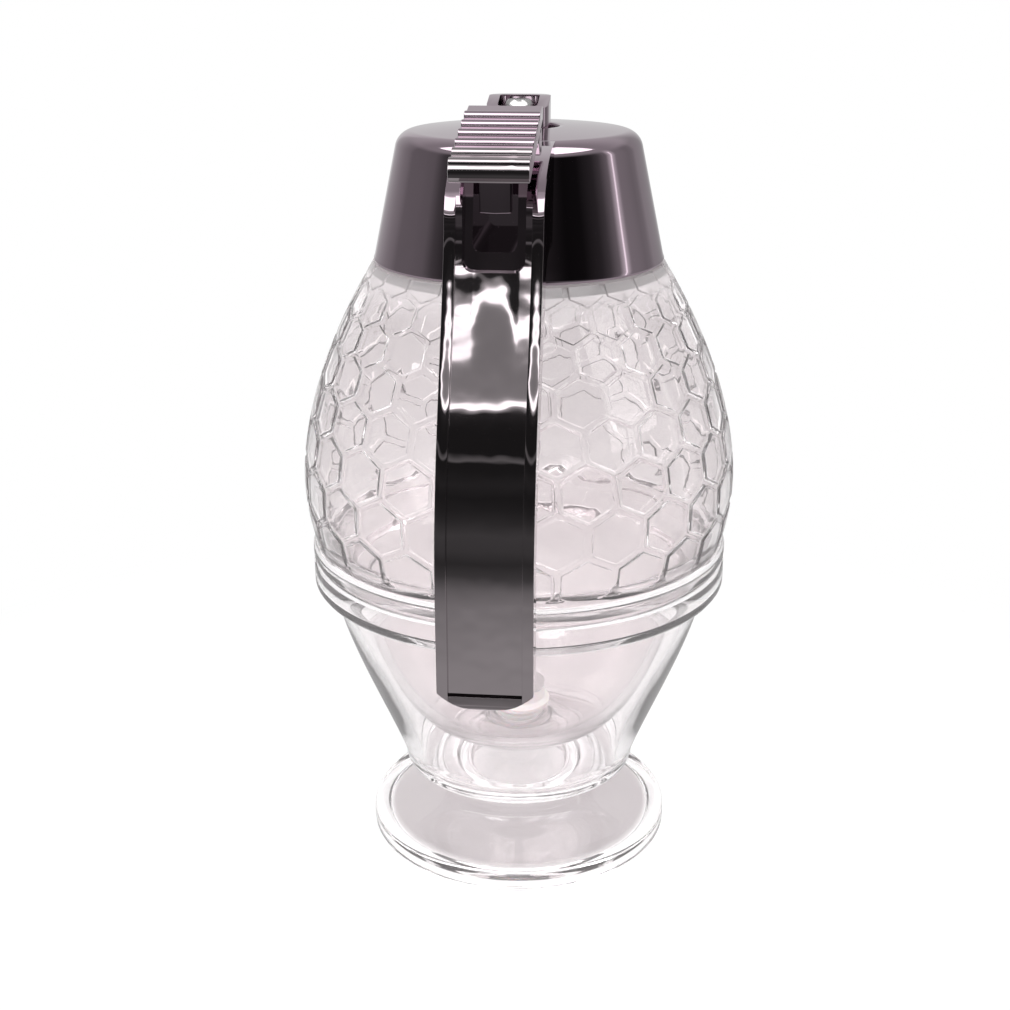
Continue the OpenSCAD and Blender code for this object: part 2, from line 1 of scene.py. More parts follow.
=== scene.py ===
"""Honey dispenser: finished meshes, finishes, floor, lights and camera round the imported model.

The jar and its stand are modelled as clear mouldings, the cap, handle and thumb lever as
plated mouldings, and every other piece gets its own procedural finish.
"""

import logging
import math
from collections import Counter
from dataclasses import dataclass
from enum import Enum
from typing import Callable, Dict, List, Optional, Sequence, Tuple, Union

import bpy
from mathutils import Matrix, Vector


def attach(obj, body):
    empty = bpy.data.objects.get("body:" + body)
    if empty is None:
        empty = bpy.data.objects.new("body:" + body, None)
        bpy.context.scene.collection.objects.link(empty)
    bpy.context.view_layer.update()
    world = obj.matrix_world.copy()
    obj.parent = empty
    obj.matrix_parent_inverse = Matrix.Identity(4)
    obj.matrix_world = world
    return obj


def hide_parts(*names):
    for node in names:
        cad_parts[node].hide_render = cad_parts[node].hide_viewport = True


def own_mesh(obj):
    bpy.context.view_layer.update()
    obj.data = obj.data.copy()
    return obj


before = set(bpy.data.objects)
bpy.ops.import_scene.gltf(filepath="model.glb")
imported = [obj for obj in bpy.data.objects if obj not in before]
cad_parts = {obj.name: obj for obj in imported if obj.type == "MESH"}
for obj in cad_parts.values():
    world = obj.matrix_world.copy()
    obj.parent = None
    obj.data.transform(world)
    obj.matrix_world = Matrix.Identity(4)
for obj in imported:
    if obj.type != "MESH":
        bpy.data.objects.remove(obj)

LOG = logging.getLogger("honey_dispenser")
MM = 0.001
Point = Tuple[float, float]
Place = Tuple[float, float, float]
Colour = Tuple[float, float, float]

# sizes at which one piece meets another, in millimetres
RIM_Z = 61.5                   # the stand's rim, which carries the jar
PLUG_R = 36.0                  # the jar's plug inside the rim
PIVOT: Point = (18.0, 138.4)   # the lever's pin: distance from the axis towards the handle, and height
ARM_W = 5.4                    # the lever's arm between the cap's lugs
SLOT_W, SLOT_Z = 6.8, 122.4    # width and floor of the handle's slot for the lever's leg

ROUND_STEPS = 224              # steps round a turned piece
ROW = math.sqrt(3) / 2         # distance between rows of hexagons one unit wide


class Body(Enum):
    """The bodies on which new pieces ride."""

    STAND = "stand"
    JAR = "jar"
    CAP = "cap"
    LEVER = "lever"
    ROD = "rod"


class Slot(Enum):
    """The record's material slots of the new pieces."""

    CLEAR = "clear_plastic"
    PLATED = "plated_plastic"
    STEEL = "steel"


# ---------------------------------------------------------------- shader maths
class Wire:
    """An output socket of a node, with arithmetic that adds Math nodes."""

    def __init__(self, graph: "Graph", socket: bpy.types.NodeSocket) -> None:
        """Keeps the graph and the socket."""
        self.graph = graph
        self.socket = socket

    def _maths(self, operation: str, first: "Value", second: "Value" = 0.0) -> "Wire":
        """Adds one Math node."""
        return self.graph.add("ShaderNodeMath", {"operation": operation}, {0: first, 1: second})

    def __add__(self, other: "Value") -> "Wire":
        """Sum."""
        return self._maths("ADD", self, other)

    def __radd__(self, other: "Value") -> "Wire":
        """Reflected sum."""
        return self._maths("ADD", other, self)

    def __sub__(self, other: "Value") -> "Wire":
        """Difference."""
        return self._maths("SUBTRACT", self, other)

    def __rsub__(self, other: "Value") -> "Wire":
        """Reflected difference."""
        return self._maths("SUBTRACT", other, self)

    def __mul__(self, other: "Value") -> "Wire":
        """Product."""
        return self._maths("MULTIPLY", self, other)

    def __rmul__(self, other: "Value") -> "Wire":
        """Reflected product."""
        return self._maths("MULTIPLY", other, self)

    def __truediv__(self, other: "Value") -> "Wire":
        """Quotient."""
        return self._maths("DIVIDE", self, other)

    def __rtruediv__(self, other: "Value") -> "Wire":
        """Reflected quotient."""
        return self._maths("DIVIDE", other, self)

    def least(self, other: "Value") -> "Wire":
        """The smaller of two values."""
        return self._maths("MINIMUM", self, other)

    def root(self) -> "Wire":
        """The square root."""
        return self._maths("SQRT", self)

    def smooth(self, low: float, high: float) -> "Wire":
        """Rises smoothly from 0 at a low value to 1 at a high one."""
        return self.graph.add("ShaderNodeMapRange", {"interpolation_type": "SMOOTHSTEP"},
                              {"Value": self, "From Min": low, "From Max": high})

    def between(self, low: float, high: float, edge: float) -> "Wire":
        """1 between two values and 0 outside them, with an edge of this half width."""
        return self.smooth(low - edge, low + edge) * (1 - self.smooth(high - edge, high + edge))

    def heading(self, east: "Value") -> "Wire":
        """The compass angle, in turns from the east, of a vector with this north part and that east part."""
        return self._maths("ARCTAN2", self, east) / math.tau

    def climb(self) -> "Wire":
        """The angle above the horizon, in turns, of a unit vector whose upward part this is."""
        return self._maths("ARCSINE", self) / math.tau


Value = Union[Wire, float, int, Tuple[float, ...]]


@dataclass(frozen=True)
class Grain:
    """A noise pattern: its scale per metre, its octaves, and a factor on each axis."""

    scale: float
    detail: float = 2.0
    stretch: Place = (1, 1, 1)


class Graph:
    """The node tree of one material, or of the world."""

    def __init__(self, tree: bpy.types.NodeTree) -> None:
        """Empties the tree and keeps it."""
        self.tree = tree
        tree.nodes.clear()

    def node(self, kind: str, settings: Optional[Dict[str, object]] = None,
             inputs: Optional[Dict[Union[int, str], "Value"]] = None) -> bpy.types.Node:
        """Adds a node.

        Args:
            kind: The node's type.
            settings: Properties of the node, or the stops of its ramp, set before its sockets.
            inputs: Values or wires for its sockets, by number or name.

        Returns:
            The added node.
        """
        node = self.tree.nodes.new(kind)
        for name, value in (settings or {}).items():
            if name == "stops":
                self._stops(node.color_ramp, value)
            else:
                setattr(node, name, value)
        for key, value in (inputs or {}).items():
            if isinstance(value, Wire):
                self.tree.links.new(value.socket, node.inputs[key])
            elif isinstance(value, tuple) and node.inputs[key].type == "RGBA":
                node.inputs[key].default_value = (*value, 1.0)
            else:
                node.inputs[key].default_value = value
        return node

    def add(self, kind: str, settings: Optional[Dict[str, object]] = None,
            inputs: Optional[Dict[Union[int, str], "Value"]] = None, out: Union[int, str] = 0) -> Wire:
        """Adds a node, as node() does, and gives one of its outputs by number or name."""
        return Wire(self, self.node(kind, settings, inputs).outputs[out])

    @staticmethod
    def _stops(ramp: bpy.types.ColorRamp, stops: Sequence[Point]) -> None:
        """Sets the place and the grey level of each stop of a ramp.

        Args:
            ramp: The ramp.
            stops: Place and grey level of each stop.
        """
        while len(ramp.elements) < len(stops):
            ramp.elements.new(1.0)
        for element, (place, level) in zip(ramp.elements, stops):
            element.position = place
            element.color = (level, level, level, 1.0)

    def mix(self, factor: "Value", first: "Value", second: "Value") -> Wire:
        """Mixes two colours: factor 0 gives the first and 1 the second."""
        return self.add("ShaderNodeMix", {"data_type": "RGBA"}, {"Factor": factor, 6: first, 7: second}, 2)

    def blend(self, factor: Wire, first: Wire, second: Wire) -> Wire:
        """Mixes two shaders: factor 0 gives the first and 1 the second."""
        return self.add("ShaderNodeMixShader", None, {0: factor, 1: first, 2: second})

    def ramp(self, spot: Wire, stops: Sequence[Point]) -> Wire:
        """Reads a grey level from a ramp with these stops, at a spot from 0 to 1."""
        return self.add("ShaderNodeValToRGB", {"stops": stops}, {"Fac": spot})

    def parts(self, space: str = "Object") -> Tuple[Wire, Wire, Wire]:
        """The parts of a texture coordinate to the east, to the north and up.

        Args:
            space: Object, in metres, or Generated, which is the direction in a world.

        Returns:
            The three parts.
        """
        vector = self.add("ShaderNodeTexCoord", out=space)
        outputs = self.node("ShaderNodeSeparateXYZ", None, {"Vector": vector}).outputs
        return Wire(self, outputs[0]), Wire(self, outputs[1]), Wire(self, outputs[2])

    def ray(self, name: str) -> Wire:
        """What the Light Path node says of the ray."""
        return self.add("ShaderNodeLightPath", out=name)

    def noise(self, grain: Grain) -> Wire:
        """A noise in the object's own space.

        Args:
            grain: Its pattern.

        Returns:
            The noise's value.
        """
        mapped = self.add("ShaderNodeMapping", None, {
            "Vector": self.add("ShaderNodeTexCoord", out="Object"), "Scale": grain.stretch})
        return self.add("ShaderNodeTexNoise", None,
                        {"Vector": mapped, "Scale": grain.scale, "Detail": grain.detail})

    def principled(self, inputs: Dict[str, "Value"], height: Wire, depth: float) -> Wire:
        """Adds a Principled shader with a bump.

        Args:
            inputs: Values or wires for its sockets.
            height: Height of the bump.
            depth: Distance in metres between heights 0 and 1.

        Returns:
            The shader.
        """
        bump = self.add("ShaderNodeBump", None, {"Height": height, "Distance": depth, "Strength": 1.0})
        return self.add("ShaderNodeBsdfPrincipled", None, {**inputs, "Normal": bump})

    def finish(self, surface: Wire, kind: str = "ShaderNodeOutputMaterial") -> None:
        """Links a shader to an output of this kind."""
        self.node(kind, None, {"Surface": surface})


# ---------------------------------------------------------------- finishes
@dataclass(frozen=True)
class Finish:
    """A material that is made once and shared."""

    name: str

    def coat(self, thing: bpy.types.Object) -> None:
        """Gives an object this finish all over. The material is made at its first use.

        Args:
            thing: The object.
        """
        made = bpy.data.materials.get(self.name)
        if made is None:
            made = bpy.data.materials.new(self.name)
            made.use_nodes = True
            self.draw(Graph(made.node_tree))
        thing.data.materials.clear()
        thing.data.materials.append(made)

    def draw(self, graph: Graph) -> None:
        """Adds the nodes of this finish."""
        raise NotImplementedError

    @staticmethod
    def dim(colour: Colour, share: float) -> Colour:
        """A colour at a share of its brightness."""
        return tuple(part * share for part in colour)


@dataclass(frozen=True)
class ClearPlastic(Finish):
    """Clear moulded acrylic with faint flow marks.

    It carries painted shade: it can be greyer where a disc lies flat on the table and in the stem above it,
    and darker towards its top. It can also be frosted there.
    """

    tint: Colour
    wave: float
    haze: float
    index: float = 1.49
    flow: Grain = Grain(55, 2.0, (1, 1, 0.6))
    ripple: Grain = Grain(240, 1.0)
    ripple_share: float = 0.12
    shadow: Colour = (0.93, 0.92, 0.925)
    # painted shade: a greyer colour mixed in over the foot's flat disc and the stem above it
    disc_shade: Optional[Colour] = None
    disc_shade_r: Point = (0.025, 0.0262)
    disc_shade_z: Point = (0.009, 0.0135)
    # painted shade: a darker colour mixed in towards the top
    high: Optional[Colour] = None
    top_shade_z: Point = (0.064, 0.108)
    frost_z: Optional[Point] = None
    frost_end_z: Point = (0.1135, 0.1139)
    frost_colour: Colour = (0.7, 0.67, 0.675)
    frost_dull: float = 0.3
    frost_share: float = 0.3

    def draw(self, graph: Graph) -> None:
        """Adds the nodes of the clear plastic, which throws only a faint shadow.

        Args:
            graph: The material's empty graph.
        """
        east, north, up = graph.parts()
        colour: Value = self.tint
        # painted shade: the foot's disc and the stem above it turn greyer
        if self.disc_shade is not None:
            inside = 1 - (east * east + north * north).smooth(*(r ** 2 for r in self.disc_shade_r))
            colour = graph.mix(inside * (1 - up.smooth(*self.disc_shade_z)), self.tint, self.disc_shade)
        # painted shade: the colour darkens towards the top
        if self.high is not None:
            colour = graph.mix(up.smooth(*self.top_shade_z), colour, self.high)
        shader = graph.principled(
            {"Base Color": colour, "Roughness": 0.0, "IOR": self.index, "Transmission Weight": 1 - self.haze},
            graph.noise(self.flow) + graph.noise(self.ripple) * self.ripple_share, self.wave)
        if self.frost_z is not None:
            band = up.smooth(*self.frost_z) * (1 - up.smooth(*self.frost_end_z))
            dull = graph.add("ShaderNodeBsdfPrincipled", None,
                             {"Base Color": self.frost_colour, "Roughness": self.frost_dull})
            shader = graph.blend(band * self.frost_share, shader, dull)
        clear = graph.add("ShaderNodeBsdfTransparent", None, {"Color": self.shadow})
        graph.finish(graph.blend(graph.ray("Is Shadow Ray"), shader, clear))


@dataclass(frozen=True)
class Plating(Finish):
    """Dark bright plating on moulded plastic, wavy on the handle's front, with faint wipe marks.

    The handle's front bulges a little at its sides and its borders are crowned. The cap's inner
    wall, inside a cone of radius bare_r at bare_z that narrows by bare_draw, is left unplated.
    """

    colour: Colour = (0.48, 0.385, 0.445)
    front_colour: Colour = (0.45, 0.4, 0.42)
    cloud: Grain = Grain(60, 3.0)
    cloud_range: Point = (0.3, 0.75)
    cloud_share: float = 0.07
    gloss: float = 0.04
    front_gloss: float = 0.022
    smear: Grain = Grain(160, 4.0, (1, 1, 0.35))
    smear_range: Point = (0.45, 0.8)
    smear_share: float = 0.03
    flow: Grain = Grain(38, 1.5)
    front_flow: Grain = Grain(110, 2.0)
    front_wave: float = 0.5
    wave: float = 0.00012
    front_y: Point = (-0.045, -0.041)
    bulge_z: Point = (0.1050, 0.1185)
    bulge_x: Point = (0.0007, 0.0036)
    bulge_middle_x: float = 0.0005
    bulge: float = 1.68
    rail_x: float = 0.00662
    rail_half: float = 0.0009
    crown: float = 0.9
    bare: Colour = (0.72, 0.7, 0.71)
    bare_r: float = 0.025
    bare_z: float = 0.1138
    bare_draw: float = 0.21875
    bare_edge: float = 0.00001
    bare_z_range: Point = (0.1136, 0.1278)
    bare_dull: float = 0.3

    def draw(self, graph: Graph) -> None:
        """Adds the nodes of the plating.

        Args:
            graph: The material's empty graph.
        """
        east, north, up = graph.parts()
        front = 1 - north.smooth(*self.front_y)
        limit = self.bare_r - (up - self.bare_z) * self.bare_draw
        around = 1 - (east * east + north * north - limit * limit).smooth(0.0, self.bare_edge)
        inside = around * up.between(*self.bare_z_range, 0.0001)
        off = east - self.bulge_middle_x
        bulge = (off * off).smooth(*(x ** 2 for x in self.bulge_x)) * up.smooth(*self.bulge_z)
        rail = ((east * east).root() - self.rail_x) / self.rail_half
        crown = 1 - (rail * rail).least(1.0)
        relief = graph.noise(self.front_flow) * self.front_wave + bulge * self.bulge + crown * self.crown
        smear = graph.noise(self.smear).smooth(*self.smear_range) * self.smear_share
        cloud = graph.noise(self.cloud).smooth(*self.cloud_range) * self.cloud_share
        shade = graph.mix(cloud, graph.mix(front, self.colour, self.front_colour), (0.0, 0.0, 0.0))
        gloss = front * (self.front_gloss - self.gloss) + self.gloss
        graph.finish(graph.principled(
            {"Base Color": graph.mix(inside, shade, self.bare), "Metallic": 1 - inside,
             "Roughness": smear + inside * self.bare_dull + gloss},
            graph.noise(self.flow) + relief * front, self.wave))


@dataclass(frozen=True)
class DrawnSteel(Finish):
    """Bright steel with fine lines round its axis."""

    colour: Colour = (0.66, 0.65, 0.65)
    gloss: float = 0.16
    line: Grain = Grain(900, 3.0, (0.12, 0.12, 1))
    line_dull: float = 0.14
    line_depth: float = 0.00001

    def draw(self, graph: Graph) -> None:
        """Adds the nodes of the steel.

        Args:
            graph: The material's empty graph.
        """
        lines = graph.noise(self.line)
        graph.finish(graph.principled(
            {"Base Color": graph.mix(lines, self.colour, self.dim(self.colour, 0.82)),
             "Metallic": 1.0, "Roughness": lines * self.line_dull + self.gloss}, lines, self.line_depth))


@dataclass(frozen=True)
class MouldedPlastic(Finish):
    """Plain moulded plastic with a fine grain."""

    colour: Colour = (0.84, 0.835, 0.82)
    gloss: float = 0.38
    cloud: Grain = Grain(90, 2.0)
    grain: Grain = Grain(2400, 3.0)
    grain_dull: float = 0.16
    grain_depth: float = 0.00002

    def draw(self, graph: Graph) -> None:
        """Adds the nodes of the moulded plastic.

        Args:
            graph: The material's empty graph.
        """
        grain = graph.noise(self.grain)
        graph.finish(graph.principled(
            {"Base Color": graph.mix(graph.noise(self.cloud), self.colour, self.dim(self.colour, 0.93)),
             "Roughness": grain * self.grain_dull + self.gloss}, grain, self.grain_depth))


@dataclass(frozen=True)
class SoftRubber(Finish):
    """Soft moulded rubber or silicone, dull and slightly mottled."""

    colour: Colour
    dull: float
    glow: float = 0.0
    glow_depth: float = 0.002
    mottle: Grain = Grain(700, 4.0)
    mottle_dull: float = 0.2
    mottle_depth: float = 0.00003

    def draw(self, graph: Graph) -> None:
        """Adds the nodes of the rubber.

        Args:
            graph: The material's empty graph.
        """
        mottle = graph.noise(self.mottle)
        graph.finish(graph.principled(
            {"Base Color": graph.mix(mottle, self.colour, self.dim(self.colour, 0.86)),
             "Roughness": mottle * self.mottle_dull + self.dull,
             "Subsurface Weight": self.glow, "Subsurface Scale": self.glow_depth}, mottle, self.mottle_depth))


@dataclass(frozen=True)
class WhiteFloor(Finish):
    """A floor that shows white, and keeps a faint shade and the object's shadow near its middle."""

    matt: Colour = (0.86, 0.855, 0.86)
    shade_r: Point = (0.045, 0.17)
    shade: float = 0.16

    def draw(self, graph: Graph) -> None:
        """Adds the nodes of the floor.

        Args:
            graph: The material's empty graph.
        """
        east, north, _ = graph.parts()
        away = (east * east + north * north).smooth(*(r ** 2 for r in self.shade_r))
        straight = (graph.ray("Is Camera Ray") + graph.ray("Is Transmission Ray")).least(1.0)
        matt = graph.add("ShaderNodeBsdfDiffuse", None, {"Color": self.matt})
        glow = graph.add("ShaderNodeEmission", None, {"Color": (1, 1, 1), "Strength": 1.0})
        graph.finish(graph.blend(straight * (away * self.shade + (1 - self.shade)), matt, glow))


# the jar's darker colour high up is painted shade towards its top
CLEAR = ClearPlastic("clear_acrylic", (0.88, 0.845, 0.852), wave=0.00009, haze=0.045,
                     high=(0.8, 0.765, 0.773), frost_z=(0.1065, 0.1118))
# the stand's greyer disc colour is painted shade under the cup
CLEAR_FOOT = ClearPlastic("clear_acrylic_stand", (0.965, 0.945, 0.95), wave=0.00004, haze=0.04,
                          disc_shade=(0.6, 0.56, 0.57))
PLATED = Plating("dark_plating")
STEEL = DrawnSteel("drawn_steel")
WHITE = MouldedPlastic("white_moulded_plastic")
IVORY = MouldedPlastic("ivory_moulded_plastic", (0.8, 0.78, 0.7), gloss=0.3)
SILICONE = SoftRubber("clear_silicone", (0.82, 0.82, 0.8), dull=0.34, glow=0.4)
SEAL = SoftRubber("black_rubber", (0.03, 0.03, 0.032), dull=0.42)
FLOOR = WhiteFloor("white_floor")


# ---------------------------------------------------------------- curves in a section
def bend(a: Point, b: Point, c: Point, d: Point, steps: int = 24) -> List[Point]:
    """The points of a cubic curve from a to d, drawn towards b and c.

    Args:
        a: First point.
        b: First handle.
        c: Second handle.
        d: Last point.
        steps: Number of steps.

    Returns:
        The points, both ends included.
    """
    points = []
    for i in range(steps + 1):
        t = i / steps
        u = 1 - t
        w = (u ** 3, 3 * t * u * u, 3 * t * t * u, t ** 3)
        points.append((sum(k * p[0] for k, p in zip(w, (a, b, c, d))),
                       sum(k * p[1] for k, p in zip(w, (a, b, c, d)))))
    return points


def arc(centre: Point, radius: float, start: float, end: float, steps: int = 8) -> List[Point]:
    """The points of an arc between two angles in degrees.

    Args:
        centre: Centre of the arc.
        radius: Its radius.
        start: First angle.
        end: Last angle.
        steps: Number of steps.

    Returns:
        The points, both ends included.
    """
    angles = [math.radians(start + (end - start) * i / steps) for i in range(steps + 1)]
    return [(centre[0] + radius * math.cos(a), centre[1] + radius * math.sin(a)) for a in angles]


def on_ring(radius: float, angle: float, height: float) -> Place:
    """The place in metres of a point on a circle round the axis, with its sizes in millimetres."""
    return radius * MM * math.cos(angle), radius * MM * math.sin(angle), height * MM


def ease(value: float, low: float, high: float) -> float:
    """Rises smoothly from 0 at a low value to 1 at a high one."""
    share = min(max((value - low) / (high - low), 0.0), 1.0)
    return share * share * (3 - 2 * share)


# ---------------------------------------------------------------- modelling
class Workpiece:
    """A new piece that is shaped in edit mode, sizes in millimetres."""

    def __init__(self, name: str) -> None:
        """Deselects everything and keeps the name."""
        self.name = name
        self.thing: Optional[bpy.types.Object] = None
        bpy.ops.object.select_all(action="DESELECT")

    def take(self) -> None:
        """Takes the object that an operator just added."""
        self.thing = bpy.context.object
        self.thing.name = self.thing.data.name = self.name

    def edit(self, everything: bool = True) -> None:
        """Enters edit mode, with everything selected or with what was selected before.

        Args:
            everything: Whether everything is selected, or what was selected before.
        """
        bpy.context.view_layer.objects.active = self.thing
        bpy.ops.object.mode_set(mode="EDIT")
        if everything:
            bpy.ops.mesh.select_all(action="SELECT")

    def leave(self, turn_out: bool = False) -> "Workpiece":
        """Leaves edit mode, where asked with every face turned outwards.

        Args:
            turn_out: Whether every face is turned outwards first.

        Returns:
            This workpiece.
        """
        if turn_out:
            bpy.ops.mesh.select_all(action="SELECT")
            bpy.ops.mesh.normals_make_consistent(inside=False)
        bpy.ops.object.mode_set(mode="OBJECT")
        return self

    def outline(self, points: Sequence[Place], fill: str = "NOTHING") -> "Workpiece":
        """Starts from a ring of vertices placed along a closed outline.

        Args:
            points: The outline's points.
            fill: How the outline is filled: NOTHING or NGON.

        Returns:
            This workpiece.
        """
        bpy.ops.mesh.primitive_circle_add(vertices=len(points), radius=MM, fill_type=fill)
        self.take()
        for vertex, place in zip(self.thing.data.vertices, points):
            vertex.co = Vector(place) * MM
        return self

    def extrude(self, points: Sequence[Place], way: Place) -> "Workpiece":
        """Fills a closed outline and extrudes it by this much on each axis.

        Args:
            points: The outline's points.
            way: The way on each axis.

        Returns:
            This workpiece.
        """
        self.outline(points, "NGON").edit()
        bpy.ops.mesh.extrude_region_move(TRANSFORM_OT_translate={"value": tuple(part * MM for part in way)})
        return self.leave(True)

    def prism(self, ring: Sequence[Point], low: float, high: float) -> "Workpiece":
        """Extrudes a plan outline from a low to a high level."""
        return self.extrude([(x, y, low) for x, y in ring], (0, 0, high - low))

    def across(self, outline: Sequence[Point], width: float, middle: float = 0.0) -> "Workpiece":
        """Extrudes a side outline across the width.

        Args:
            outline: Distance towards the handle, and height, of the outline's points.
            width: Width along X.
            middle: Middle of the width along X.

        Returns:
            This workpiece.
        """
        return self.extrude([(middle - width / 2, -y, z) for y, z in outline], (width, 0, 0))

    def spin(self, profile: Sequence[Point], steps: int) -> "Workpiece":
        """Turns a closed section of radius and height once round the axis, in so many steps.

        Args:
            profile: Radius and height of the section's points.
            steps: Steps round the axis.

        Returns:
            This workpiece.
        """
        self.outline([(r, 0.0, z) for r, z in profile]).edit()
        bpy.ops.mesh.spin(steps=steps, angle=math.tau, center=(0, 0, 0), axis=(0, 0, 1))
        bpy.ops.mesh.select_all(action="SELECT")
        bpy.ops.mesh.remove_doubles(threshold=2e-6)
        return self.leave(True)

    def helix(self, profile: Sequence[Point], turns: float, rise: float, steps: int = 36) -> "Workpiece":
        """Screws a small closed section up round the axis and closes both ends.

        Args:
            profile: Radius and height of the section's points.
            turns: Number of turns.
            rise: Rise in one turn.
            steps: Steps in one turn.

        Returns:
            This workpiece.
        """
        self.outline([(r, 0.0, z) for r, z in profile])
        count = round(steps * turns)
        self.modify("SCREW", axis="Z", angle=math.tau * turns, screw_offset=rise * turns * MM,
                    steps=count, render_steps=count, use_merge_vertices=False)
        self.edit()
        bpy.ops.mesh.fill_holes(sides=len(profile))
        return self.leave(True)

    def modify(self, kind: str, **settings: object) -> "Workpiece":
        """Adds a modifier with these settings and applies it.

        Args:
            kind: The modifier's type.
            **settings: Its properties.

        Returns:
            This workpiece.
        """
        modifier = self.thing.modifiers.new(kind.lower(), kind)
        for name, value in settings.items():
            setattr(modifier, name, value)
        bpy.context.view_layer.objects.active = self.thing
        bpy.ops.object.modifier_apply(modifier=modifier.name)
        return self

    def repeat(self, count: int, step: Place) -> "Workpiece":
        """Makes a row of copies, each one step from the last."""
        return self.modify("ARRAY", count=count, use_relative_offset=False, use_constant_offset=True,
                           constant_offset_displace=step)

    def cut(self, tool: "Workpiece") -> "Workpiece":
        """Takes another workpiece away from this one."""
        self.modify("BOOLEAN", operation="DIFFERENCE", solver="EXACT", object=tool.thing)
        tool.drop()
        return self

    def keep_within(self, tool: "Workpiece") -> "Workpiece":
        """Keeps what lies inside another workpiece, which stays."""
        return self.modify("BOOLEAN", operation="INTERSECT", solver="EXACT", object=tool.thing)

    def drop(self) -> None:
        """Removes the workpiece."""
        bpy.data.objects.remove(self.thing, do_unlink=True)

    def round_edges(self, width: float, segments: int, angle: float) -> "Workpiece":
        """Rounds the edges that are sharper than an angle, by a width in millimetres."""
        return self.modify("BEVEL", width=width * MM, segments=segments, limit_method="ANGLE",
                           angle_limit=math.radians(angle))

    def open_edges(self) -> List[int]:
        """Numbers of the edges that only one face uses."""
        uses = Counter(loop.edge_index for loop in self.thing.data.loops)
        return [edge.index for edge in self.thing.data.edges if uses[edge.index] == 1]

    def choose_edges(self, numbers: Sequence[int]) -> None:
        """Selects the edges with these numbers and stays in edit mode.

        Args:
            numbers: The edges' numbers.
        """
        mesh = self.thing.data
        for group in (mesh.vertices, mesh.edges, mesh.polygons):
            for item in group:
                item.select = False
        for edge in (mesh.edges[number] for number in numbers):
            edge.select = True
            for corner in edge.vertices:
                mesh.vertices[corner].select = True
        self.edit(False)
        bpy.ops.mesh.select_mode(type="EDGE")

    def select(self, *others: "Workpiece") -> None:
        """Selects this piece and others, with this one active.

        Args:
            *others: The other workpieces.
        """
        bpy.ops.object.select_all(action="DESELECT")
        for piece in (*others, self):
            piece.thing.select_set(True)
        bpy.context.view_layer.objects.active = self.thing

    def join(self, *others: "Workpiece") -> "Workpiece":
        """Joins other workpieces to this one."""
        self.select(*others)
        bpy.ops.object.join()
        return self

    def done(self, finish: Finish, body: Body, slot: Slot, node: str, angle: float,
             weigh: bool = False) -> bpy.types.Object:
        """Smooths and dresses the finished piece, hangs it on its body and hides the CAD node that it stands
        for.

        Args:
            finish: Its finish.
            body: The body that it rides on.
            slot: The record's material slot; not used.
            node: The CAD node that it stands for.
            angle: Edges sharper than this many degrees stay sharp.
            weigh: Whether large faces pull the shading flat.

        Returns:
            The finished object.
        """
        self.select()
        bpy.ops.object.shade_smooth_by_angle(angle=math.radians(angle))
        if weigh:
            self.modify("WEIGHTED_NORMAL", keep_sharp=True, weight=50)
        finish.coat(self.thing)
        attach(self.thing, body.value)
        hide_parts(node)
        LOG.info("%s: %d faces, %s, on %s", self.name, len(self.thing.data.polygons), finish.name, body.value)
        return self.thing


def dress(finish: Finish, *nodes: str) -> None:
    """Gives CAD nodes, which are carried over, their finish."""
    for node in nodes:
        finish.coat(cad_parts[node])
        LOG.info("%s: CAD mesh, %s", node, finish.name)


